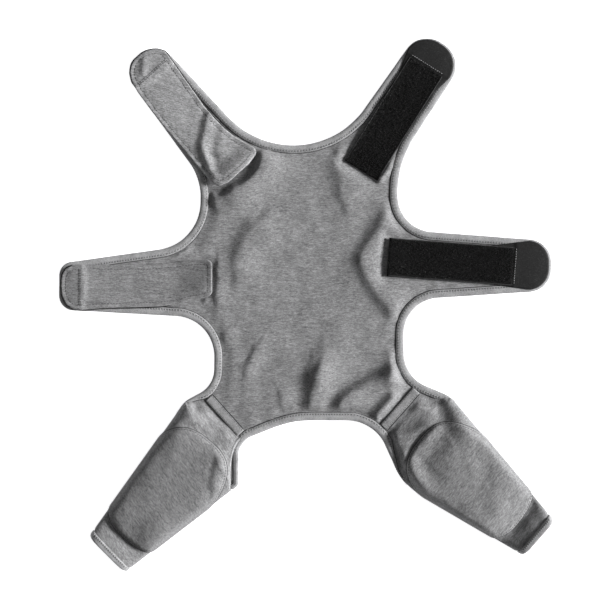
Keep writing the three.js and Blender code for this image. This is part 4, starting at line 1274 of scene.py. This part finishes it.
def make_opening(rim):
    """Back layer of the left leg opening, and the narrow binding on its front edge."""
    points, inwards = stretch("hem_left_low", "left_opening", 0.0, BINDING_RUN_ON["hem_binding"][1])
    points, inwards = resample(points, 0.002, inwards)
    beyond = (points - seams["left"]["limb"].root) @ seams["left"]["outwards"] > EDGE_INSET
    points, inwards = points[beyond], inwards[beyond]
    depths = np.linspace(EDGE_INSET, OPENING_DEPTH, 7)
    plan = (points[:, None] + inwards[:, None] * depths[None, :, None]).reshape(-1, 2)
    rows = [list(range(len(depths) * j, len(depths) * (j + 1))) for j in range(len(points))]
    low = np.full(len(plan), SLOT_LIFT)
    back = build_sheet("left_opening_back", plan, low + CLOTH, low, grid_faces(rows),
                       "left_sleeve")
    places = resample(rim, 0.0016)[0]
    way = np.gradient(places[:, :2], axis=0)
    way /= np.linalg.norm(way, axis=1)[:, None]
    sides = np.column_stack([-way[:, 1], way[:, 0], np.zeros(len(way))])
    front = build_strip("left_opening_binding", places, sides,
                        np.array(FRONT_BINDING_SECTION) * FRONT_BINDING_WIDTH, "binding")
    return [back, front]


def sleeve_relief(side, points, columns):
    """Folds and waves of a sleeve, and the crease round its pad."""
    limb = limbs[side + "Sleeve"]
    folds = fold_heights(points, SLEEVE_FOLDS[side], limb)
    waves = ripples(points, "sleeve")
    distance = edge_distance(points, pad_edges[side])
    within = inside(points, pad_edges[side])
    reach = np.where(within, PAD_CREASE["inside"], PAD_CREASE["outside"])
    crease = PAD_CREASE["depth"] * bell(distance, 0, reach)
    return (folds + waves - crease) * smooth((1 - np.abs(columns)) / 0.25)


def grid_faces(rows):
    faces = []
    for j in range(len(rows) - 1):
        for i in range(len(rows[j]) - 1):
            faces.append((rows[j][i], rows[j][i + 1], rows[j + 1][i + 1], rows[j + 1][i]))
    return faces


def make_cuff(side):
    """Band folded over the end of a sleeve, with its stitches on the front."""
    shape = sleeves[side]
    half_columns = 15
    columns = np.sin(np.linspace(-math.pi / 2, math.pi / 2, 2 * half_columns + 1))
    wall = BINDING_WALL
    section = [
        (0.02, 0.2), (-0.02, 0.6), (0.02, 1.0), (0.14, 1.2), (0.4, 1.3), (0.7, 1.28),
        (0.92, 1.2), (1.0, 0.95), (1.0, 0.35), (0.94, 0.2),
    ]
    rows = []
    vertices = []
    for along_share, grow_share in section:
        along = along_share * CUFF_WIDTH / shape.length
        grow = grow_share * (wall + GAP)
        share = np.full(len(columns), max(along, 0.0))
        points = shape.plan(share, columns, grow)
        points = points + (shape.plan(np.zeros(1), 0.0) - shape.plan(np.ones(1), 0.0)) \
            * max(-along, 0)
        top = shape.front(share, columns, grow)
        low = np.maximum(shape.back(share, columns, grow), 0)
        loop = np.concatenate([raise_plan(points, top), raise_plan(points, low)[1:-1][::-1]])
        first = sum(len(part) for part in vertices)
        vertices.append(loop)
        rows.append(list(range(first, first + len(loop))) + [first])
    rows.append(rows[0])
    faces = grid_faces(rows)
    cuff = build(side + "_cuff_band", np.concatenate(vertices), faces, "binding",
                 [side + "_cuff"])
    height = surface_of(cuff)
    pieces = [cuff]
    count = round(0.05 / STITCH_PITCH)
    # Light stitch bars, with dark dashes between them as painted shade
    for label, offset, low_share, high_share, material in (
        ("bars", 0.0, 0.55, 0.9, "thread"), ("gaps", 0.5, 0.6, 0.86, "dark_thread_and_shade"),
    ):
        strands = []
        for k in range(count):
            column = mix(-0.94, 0.94, (k + 0.25 + offset) / count)
            share = np.linspace(low_share, high_share, 5) * CUFF_WIDTH / shape.length
            points = shape.plan(share, np.full(5, column))
            levels = [height(x, y) for x, y in points]
            if None not in levels:
                strands.append(raise_plan(points, np.array(levels) + 0.00005))
        pieces.append(build_threads(f"{side}_cuff_{label}", strands, "ladder", material))
    return pieces


# Pads


def pad_polygon(side):
    shape = sleeves[side]
    limb = shape.limb
    spec = PADS[side]
    centre = limb.at(spec["along"], spec["across"])
    way, cross = turned(limb.axis, spec["degrees"]), turned(limb.across, spec["degrees"])
    angles = np.linspace(0, 2 * math.pi, 361)[:-1]

    def oval(value):
        return np.sign(value) * np.abs(value) ** (2 / PAD_POWER)

    ring = (centre + np.outer(oval(np.cos(angles)) * PAD["length"] / 2, way)
            + np.outer(oval(np.sin(angles)) * PAD["width"] / 2, cross))
    along, column = shape.place(ring)
    wrapped = np.clip(column, -1.0, 1.0)
    grow = PAD_WRAP * smooth((np.abs(column) - 1) / 0.06)
    ring = np.array([
        shape.plan(np.array([a]), np.array([c]), g)[0] for a, c, g in zip(along, wrapped, grow)
    ])
    return even_ring(ring, EDGE_STEP)


pad_edges = {side: pad_polygon(side) for side in sleeves}


def make_pad(side, sleeve):
    """Padded oval, swelled by a pressure simulation while its rim is held."""
    shape = sleeves[side]
    polygon = pad_edges[side]
    points, faces = triangulate(polygon, PAD_CELL, PAD_RINGS)
    edge = edge_distance(points, polygon)
    along, column = shape.place(points)
    height = surface_of(sleeve)
    under = shape.plan(along, np.clip(column, -0.98, 0.98))
    sleeve_top = np.array([height(x, y) or OVER_PANEL for x, y in under])
    side_wall = np.abs(column) > 0.995
    rim = np.where(side_wall, 0.0012, sleeve_top + GAP)
    roll = rounded(edge, mix(0.0016, 0.0028, side_wall))
    swell = PAD_EDGE + PAD_THICKNESS * smooth(edge / PAD_SLOPE)
    top_height = rim + (sleeve_top + swell - rim) * roll
    bottom_height = np.minimum(np.where(side_wall, 0.001, sleeve_top + GAP), top_height - 0.0001)
    pad = build_sheet(side + "_pad_shell", points, top_height, bottom_height, faces,
                      side + "_pad", [side + "_elbow_pad"])
    held = np.ones(2 * len(points))
    held[:len(points)] = 1 - smooth((edge - 0.003) / 0.004)
    swell_pad(pad, held)
    dent_pad(side, pad, len(points), edge)
    pad.modifiers.new("finer", "SUBSURF").levels = 1
    pad.modifiers["finer"].render_levels = 1
    return pad


# Cloth of the pads' simulation, its frames, and how far a point may move
PAD_CLOTH = {
    "quality": 6, "mass": 0.2, "use_pressure": True, "uniform_pressure_force": 3,
    "tension_stiffness": 14, "compression_stiffness": 14, "bending_stiffness": 0.4,
    "pin_stiffness": 1,
}
PAD_FRAMES = 20
PAD_MOVE = 0.004


def swell_pad(pad, held):
    """Cloth swelled by pressure while the points of its rim are held."""
    start = np.array([v.co for v in pad.data.vertices])
    group = pad.vertex_groups.new(name="held")
    for index, weight in enumerate(held):
        if weight > 0.001:
            group.add([index], float(weight), "REPLACE")
    cloth = pad.modifiers.new("cloth", "CLOTH")
    for setting, value in PAD_CLOTH.items():
        setattr(cloth.settings, setting, value)
    cloth.settings.vertex_group_mass = "held"
    cloth.settings.effector_weights.gravity = 0
    cloth.collision_settings.use_collision = False
    scene = bpy.context.scene
    for step in range(1, PAD_FRAMES + 1):
        scene.frame_set(step)
    graph = bpy.context.evaluated_depsgraph_get()
    moved = np.array([v.co for v in pad.evaluated_get(graph).data.vertices])
    pad.modifiers.remove(cloth)
    scene.frame_set(1)
    shift = moved - start
    size = np.linalg.norm(shift, axis=1, keepdims=True)
    shift *= np.minimum(1, PAD_MOVE / np.maximum(size, 1e-9))
    pad.data.vertices.foreach_set("co", (start + shift).ravel())
    pad.data.update()


# How far inside a pad's edge its stitches lie
PAD_STITCHES = 0.0018

# Shallow dents of the pads, in shares of the sleeve's frame
PAD_DENTS = {
    "left": [
        Fold([(0.62, 0.1), (0.74, 0.02)], 0.12, 0.16, -0.25),
        Fold([(0.35, -0.05), (0.46, 0.0)], 0.12, 0.16, -0.2),
    ],
    "right": [
        Fold([(0.44, -0.3), (0.56, -0.12)], 0.09, 0.14, -0.4),
        Fold([(0.62, -0.2), (0.74, 0.1)], 0.1, 0.16, 0.25),
        Fold([(0.27, -0.04), (0.28, 0.1)], 0.1, 0.12, -0.15),
    ],
}


def dent_pad(side, pad, top_count, edge):
    vertices = np.array([v.co for v in pad.data.vertices])
    top = vertices[:top_count, :2]
    limb = limbs[side + "Sleeve"]
    relief = fold_heights(top, PAD_DENTS[side], limb) * 0.5
    relief += ripples(top, "pad")
    relief *= smooth((edge - 0.003) / 0.008)
    groove = 0.0004 * bell(edge, PAD_STITCHES, 0.0008)
    vertices[:top_count, 2] += relief - groove
    pad.data.vertices.foreach_set("co", vertices.ravel())
    pad.data.update()


def surface_of(*pieces):
    """A function that gives the height of the pieces' top at places on the plan."""
    graph = bpy.context.evaluated_depsgraph_get()
    trees = [BVHTree.FromObject(piece, graph) for piece in pieces]

    def height(x, y):
        best = None
        for tree in trees:
            hit = tree.ray_cast(Vector((x, y, 0.2)), Vector((0, 0, -1)))
            if hit[0] is not None and (best is None or hit[0].z > best):
                best = hit[0].z
        return best

    return height


def stitch_line(name, path, pitch, share, height, thickness, material="dark_thread_and_shade",
                lift=0.00012):
    """A row of stitches that lie on a surface along a path on the plan."""
    path = resample(np.asarray(path), pitch)[0]
    strands = []
    for k in range(len(path) - 1):
        way = path[k + 1] - path[k]
        run = np.linspace(0, share, 5)[:, None]
        dash = path[k] + way * run
        levels = [height(x, y) for x, y in dash]
        if None in levels:
            continue
        arch = np.array(levels) + lift * np.sin(math.pi * np.linspace(0, 1, 5)) * 2 - lift * 0.6
        strands.append(np.column_stack([dash, arch]))
    return build_threads(name, strands, thickness, material)


# Seam bands


def make_seam_band(side):
    seam = seams[side]
    reach = BINDING_WIDTH * 0.9
    start, end = seam["at"](seam["outer"] + reach), seam["at"](seam["inner"] - reach)
    count = round(np.linalg.norm(end - start) / 0.0015)
    shares = np.linspace(0, 1, count)
    centre = mix(start[None], end[None], shares[:, None])
    half = SEAM_BAND_WIDTH / 2
    places = np.column_stack([centre, np.full(count, OVER_PANEL)])
    sides = np.tile([*seam["outwards"], 0.0], (count, 1))
    section = [
        (-1.0, 0.0), (-1.0, 0.2), (-0.96, 0.5), (-0.84, 0.8), (-0.7, 0.85), (-0.5, 1.0),
        (0, 1.1), (0.5, 1.0), (0.7, 0.85), (0.84, 0.8), (0.96, 0.5), (1.0, 0.2), (1.0, 0.0),
    ]
    profile = np.array([(x * half, z * 0.0008) for x, z in section])
    profile = np.repeat(profile[None], count, axis=0)
    wave = np.array([noise.noise((s * 9, side == "left", 0.4)) for s in shares])
    profile[:, 1:-1, 1] += (0.00015 * wave)[:, None]
    band = build_strip(side + "_seam_band_strip", places, sides, profile, "band",
                       [side + "_seam_band"])
    pieces = [band]
    height = surface_of(band)
    for sign, label in ((-1, "upper"), (1, "lower")):
        aside = seam["outwards"] * sign * half
        line = [start + aside * 0.72, end + aside * 0.72]
        pieces.append(stitch_line(f"{side}_seam_{label}_stitches", line, STITCH_PITCH, 0.6,
                                  height, "fine_stitch"))
        # A dark cord along the band's foot, as painted shade where the band steps down onto the panel
        run = np.linspace(0, 1, count)[:, None]
        foot = mix(start + aside * 1.03, end + aside * 1.03, run)
        shade_cord = np.column_stack([foot, np.full(count, OVER_PANEL + 0.0002)])
        pieces.append(build_threads(f"{side}_seam_{label}_line", [shade_cord], "band_shade_line",
                                    "dark_thread_and_shade", sides=6))
    return pieces


# Loop tabs


def tab_outline(limb, stations, radius):
    """Both edges of a tab as a closed polygon with round corners."""
    outer = [limb.at(along, edge) for along, edge, _, _ in stations]
    inner = [limb.at(along, edge) for along, _, edge, _ in stations]
    corners = outer + inner[::-1]
    loop = [{"name": str(i), "point": p, "radius": radius} for i, p in enumerate(corners)]
    points, _, _ = rounded_loop(loop, 8)
    return even_ring(points, TRIM_STEP)


# How far inside a tab's edge its stitches lie
TAB_STITCHES = 0.0045

TAB_FOLDS = {
    "neck": [
        Fold([(0.315, -0.146), (0.25, 0.106), (0.195, 0.34)], 0.09, 0.2, 0.45),
        Fold([(0.155, -0.11), (0.064, 0.21)], 0.12, 0.2, 0.3),
        Fold([(0.17, 0.46), (0.09, 0.5)], 0.07, 0.09, 0.3),
        Fold([(0.1, 0.52), (0.02, 0.58)], 0.07, 0.09, 0.3),
        Fold([(0.02, 0.62), (-0.06, 0.66)], 0.07, 0.09, 0.25),
        Fold([(0.81, 0.42), (0.79, 0.05), (0.785, -0.25)], 0.05, 0.3, 0.22),
        Fold([(0.95, 0.08), (0.88, 0.3)], 0.06, 0.08, 0.2),
    ],
    "chest": [
        Fold([(0.3, 0.1), (0.1, -0.1)], 0.3, 0.3, 0.15),
        Fold([(0.12, 0.3), (-0.02, 0.1)], 0.12, 0.2, 0.2),
        Fold([(0.825, 0.32), (0.82, 0), (0.825, -0.3)], 0.05, 0.3, 0.22),
    ],
}


def make_tab(name, limb, stations, node, material):
    polygon = tab_outline(limb, stations, TAB_CORNER)
    points, faces = triangulate(polygon, TAB_CELL, TAB_RINGS)
    edge = edge_distance(points, polygon)
    along, across = limb.shares(points)
    outer, inner, rise = (table_value(sorted(stations), along, column) for column in (1, 2, 3))
    share = np.clip((across - outer) / (inner - outer), 0, 1)
    crown = 1 - 0.35 * (2 * share - 1) ** 2
    base = OVER_BINDING + smooth(rise) * TAB_RISE * crown
    base += fold_heights(points, TAB_FOLDS[name], limb)
    base += ripples(points, "tab")
    roll = rounded(edge, 0.0007)
    hem = 0.0006 * bell(edge, TAB_STITCHES, 0.0009)
    top = base + TAB_THICKNESS * (0.45 + 0.55 * roll) - hem
    bottom = base + 0.35 * TAB_THICKNESS * (1 - roll)
    tab = build_sheet(name + "_tab_cloth", points, top, bottom, faces, material,
                      [node])
    return tab, polygon, float(abs(signed_area(polygon)))


# Where a dark cord of painted shade runs round a tab's edge: share along the strap past which it
# follows the whole edge, the side that it follows further, and the share where it ends there
TAB_LINES = {"neck_tab": (0.86, -1, 0.06), "chest_tab": (0.9, 1, 0.2)}


def tab_stitches(name, tab, polygon, limb, cross_share):
    height = surface_of(tab)
    line = ring_inside(polygon, TAB_STITCHES)
    pieces = [stitch_line(name + "_topstitch", line, 0.003, 0.7, height, "fine_stitch")]
    along, across = limb.shares(polygon)
    tip_share, side_sign, side_share = TAB_LINES[name]
    lined = (along > tip_share) | ((across * side_sign > 0) & (along > side_share))
    near_tip = np.flatnonzero(lined)
    breaks = np.flatnonzero(np.diff(near_tip) > 1)
    if len(breaks):
        near_tip = np.concatenate([near_tip[breaks[0] + 1:], near_tip[:breaks[0] + 1]])
    # A dark cord just outside the tab's edge, as painted shade under that edge
    foot = polygon[near_tip] - inward_normals(polygon)[near_tip] * 0.0005
    shade_cord = np.column_stack([foot, np.full(len(foot), OVER_BINDING + 0.0003)])
    pieces.append(build_threads(name + "_edge_shade_line", [shade_cord], "tab_shade_line", "dark_thread_and_shade", sides=6))
    left, right = limb.at(cross_share, 0.7), limb.at(cross_share, -0.7)
    cross = resample(np.array([left, right]), 0.001)[0]
    within = edge_distance(cross, polygon)
    cross = cross[inside(cross, polygon) & (within > 0.004)]
    for offset in (0, 0.0016):
        row = cross + limb.axis * offset
        pieces.append(stitch_line(f"{name}_cross_{round(offset * 1e4)}", row, 0.0026, 0.7, height,
                                  "stitch"))
    return pieces


# Hook tapes


def tape_line(spec):
    limb = limbs[spec["frame"]]
    start, end = limb.at(*spec["inner"]), limb.at(*spec["outer"])
    way = unit(end - start)
    return start, end, way, np.array([-way[1], way[0]])


def tape_level(shares, seed, curl):
    """Height of a tape's underside over the bindings."""
    bent = curl * smooth(1 - np.asarray(shares) / 0.2)
    return bent + 0.00035 * np.array([noise.noise((s * 5, seed, 0.2)) for s in shares])


# Share of the hooks given a lighter nylon, as painted glints
PAINTED_GLINT_SHARE = 0.07


def make_hook_tape(name, spec, seed):
    """Woven backing with a selvedge on each side, and a field of small bent hooks."""
    start, end, way, aside = tape_line(spec)
    length = np.linalg.norm(end - start)
    count = round(length / 0.002)
    shares = np.linspace(0, 1, count)
    half = HOOK_TAPE_WIDTH / 2
    section = [
        (-1.0, 0.1), (-1.0, 0.7), (-0.985, 0.95), (-0.96, 1.05), (-0.93, 0.98), (-0.91, 0.8),
        (-0.5, 0.8), (0, 0.8), (0.5, 0.8), (0.91, 0.8), (0.93, 0.98), (0.96, 1.05),
        (0.985, 0.95), (1.0, 0.7), (1.0, 0.1), (0.9, 0.0), (-0.9, 0.0),
    ]
    profile = np.array([(x * half, z * HOOK_TAPE_THICKNESS) for x, z in section])
    profile = np.repeat(profile[None], count, axis=0)
    level = tape_level(shares, seed, spec["curl"])
    places = np.column_stack([mix(start[None], end[None], shares[:, None]), OVER_BINDING + level])
    sides = np.tile([*aside, 0.0], (count, 1))
    base = build_strip(name + "_tape_backing", places, sides, profile, "backing",
                       [name + "_hook_tape"])
    draw = random.Random(seed)
    strands, across, painted_glints = [], [], []
    rows = int(length / 0.0017)
    columns = int((HOOK_TAPE_WIDTH - 0.0036) / 0.00155)
    for j in range(rows):
        for i in range(columns):
            u = (j + 0.5) / rows + draw.uniform(-0.55, 0.55) / rows
            u = min(max(u, 0.004), 0.996)
            v = ((i + 0.5 + (j % 2) * 0.3) / columns - 0.5) * (HOOK_TAPE_WIDTH - 0.0042)
            v += draw.uniform(-0.0009, 0.0009)
            lean = turned(way, draw.uniform(0, 360))
            clump = 0.5 + 0.5 * noise.noise((u * length * 420, v * 420, seed))
            tall = mix(0.0006, 0.0021, clump) * draw.uniform(0.8, 1.2)
            bend = draw.uniform(0.0007, 0.0014)
            root = mix(start, end, u) + aside * v
            floor = OVER_BINDING + 0.8 * HOOK_TAPE_THICKNESS + np.interp(u, shares, level)
            outs = np.array([0, 0.05, 0.35, 0.8, 1.0, 0.9]) * bend
            ups_ = np.array([-0.1, 0.6, 0.95, 0.95, 0.65, 0.4]) * tall
            strands.append(np.column_stack([root + np.outer(outs, lean), floor + ups_]))
            across.append([-lean[1], lean[0], 0.0])
            painted_glints.append(draw.random() < PAINTED_GLINT_SHARE)
    strands, across, painted_glints = np.array(strands), np.array(across), np.array(painted_glints)
    pieces = [base]
    for label, kept, material in (("hooks", ~painted_glints, "hooks"), ("glints", painted_glints, "glint")):
        pieces.append(build_threads(f"{name}_tape_{label}", strands[kept], "hook", material,
                                    4, across[kept]))
    selvedge = []
    for sign in (-1, 1):
        run = np.linspace(0.01, 0.99, 60)
        line = mix(start[None], end[None], run[:, None]) + aside * sign * half * 0.97
        lift = np.interp(run, shares, level) + OVER_BINDING + HOOK_TAPE_THICKNESS
        selvedge.append(np.column_stack([line, lift]))
    pieces.append(build_threads(name + "_tape_selvedge", selvedge, "selvedge", "selvedge"))
    return pieces


def make_tape_end(name, spec, tip_names):
    """Smooth end of a tape, from its last stitch line round the strap's tip."""
    _, end, way, aside = tape_line(spec)
    picked = [i for i, corner in enumerate(loop_names) if corner in tip_names]
    tip = loop_points[picked] + loop_inwards[picked] * TAPE_END_INSET + TAPE_END_SHIFT
    tip = tip[(tip - end) @ way > GAP]
    half = HOOK_TAPE_WIDTH / 2
    foot = [end - way * TAPE_END_TAIL + aside * half, end - way * TAPE_END_TAIL - aside * half]
    polygon = even_ring(np.array([foot[0], *tip, foot[1]]), TRIM_STEP)
    points, faces = triangulate(polygon, TAPE_END_CELL, TAPE_END_RINGS)
    edge = edge_distance(points, polygon)
    roll = rounded(edge, 0.0018)
    crown = 0.0004 * smooth(edge / 0.012) + ripples(points, "tape_end")
    hem = 0.0004 * bell(edge, 0.0032, 0.0007)
    top = OVER_BINDING + HOOK_TAPE_THICKNESS * (0.25 + 0.75 * roll) + crown - hem
    below = smooth(0.5 - (points - end) @ way / 0.0012)
    top = mix(top, OVER_BINDING + HOOK_TAPE_THICKNESS * 0.5 * roll + 0.0001, below)
    return build_sheet(name + "_tape_tip", points, top, np.full(len(points), OVER_BINDING), faces,
                       "satin", [name + "_tape_end"])


def tape_stitches(name, spec, pieces):
    _, end, way, aside = tape_line(spec)
    reach = aside * HOOK_TAPE_WIDTH / 2 * 0.94
    row = [end + way * 0.0016 + reach, end + way * 0.0016 - reach]
    return stitch_line(name + "_tape_cross", row, 0.0024, 0.62, surface_of(*pieces), "stitch",
                       "thread")


# The light, floor and camera

CAMERA_HEIGHT = 1.703
CAMERA_LENS = 100
PICTURE_CENTRE = (-0.00018, -0.00114)
SUNS = [
    {"name": "key", "azimuth": 4, "elevation": 22, "strength": 8.5, "angle": 18},
    {"name": "top", "azimuth": -60, "elevation": 70, "strength": 0.2, "angle": 60},
]
# The floor is a light table, which keeps the shadows on it pale
FLOOR_GLOW = 0.85


def make_studio():
    scene = bpy.context.scene
    lens = bpy.data.cameras.new("camera")
    lens.lens = CAMERA_LENS
    lens.clip_end = 20
    camera = bpy.data.objects.new("camera", lens)
    camera.location = (*PICTURE_CENTRE, CAMERA_HEIGHT)
    scene.collection.objects.link(camera)
    scene.camera = camera
    for spec in SUNS:
        light = bpy.data.lights.new(spec["name"], "SUN")
        light.energy = spec["strength"]
        light.angle = math.radians(spec["angle"])
        lamp = bpy.data.objects.new(spec["name"], light)
        azimuth, elevation = math.radians(spec["azimuth"]), math.radians(spec["elevation"])
        towards = Vector((math.cos(azimuth) * math.cos(elevation),
                          math.sin(azimuth) * math.cos(elevation), math.sin(elevation)))
        lamp.rotation_mode = "QUATERNION"
        lamp.rotation_quaternion = towards.to_track_quat("Z", "Y")
        lamp.location = towards * 2
        scene.collection.objects.link(lamp)
    world = bpy.data.worlds.new("studio")
    world.use_nodes = True
    world.node_tree.nodes["Background"].inputs["Color"].default_value = (1, 1, 1, 1)
    world.node_tree.nodes["Background"].inputs["Strength"].default_value = 0.13
    scene.world = world
    scene.view_settings.view_transform = "Standard"
    mesh = bpy.data.meshes.new("floor")
    reach = 4.0
    mesh.from_pydata([(-reach, -reach, 0), (reach, -reach, 0), (reach, reach, 0),
                      (-reach, reach, 0)], [], [(0, 1, 2, 3)])
    floor = bpy.data.objects.new("floor", mesh)
    look = Look("floor_paper", 0.9, specular=0.1)
    look.colour(look.noise((40, 40, 40), 2), [(0.3, 0.93), (0.7, 0.96)])
    look.shader.inputs["Emission Color"].default_value = (1, 1, 1, 1)
    look.shader.inputs["Emission Strength"].default_value = FLOOR_GLOW
    mesh.materials.append(look.material)
    scene.collection.objects.link(floor)


make_studio()
panel, panel_size, panel_area = make_panel()
bindings = make_bindings()
for side in ("left", "right"):
    sleeve, rim = make_sleeve(side)
    trim = make_cuff(side)
    if side == "left":
        trim += make_opening(rim)
    pad = make_pad(side, sleeve)
    make_seam_band(side)
    top = surface_of(sleeve, pad)
    stitch_line(side + "_pad_stitches", ring_inside(pad_edges[side], PAD_STITCHES), 0.0028, 0.6,
                top, "pad_stitch")
    # A dark cord along the pad's edge, as painted shade in the crease round the pad
    stitch_line(side + "_pad_shade_line", ring_inside(pad_edges[side], 0.0001), 0.0015, 1.0, top,
                "pad_shade_line", lift=0)
for name, limb_name, stations, grain, cross in (
    ("neck", "leftNeck", NECK_TAB, "neck_tab", 0.83),
    ("chest", "leftChest", CHEST_TAB, "chest_tab", 0.845),
):
    limb = limbs[limb_name]
    tab, tab_polygon, tab_area = make_tab(name, limb, stations, name + "_loop_tab", grain)
    stitches = tab_stitches(name + "_tab", tab, tab_polygon, limb, cross)
for seed, (name, spec) in enumerate(TAPES.items()):
    tape = make_hook_tape(name, spec, seed + 11)
    side_name = "right_" + name
    tips = [f"{side_name}_tip_{end}" for end in ("inner", "top", "outer", "low")]
    tape_end = make_tape_end(name, spec, tips + [side_name + "_tip"])
    tape_stitches(name, spec, [tape[0], tape_end])
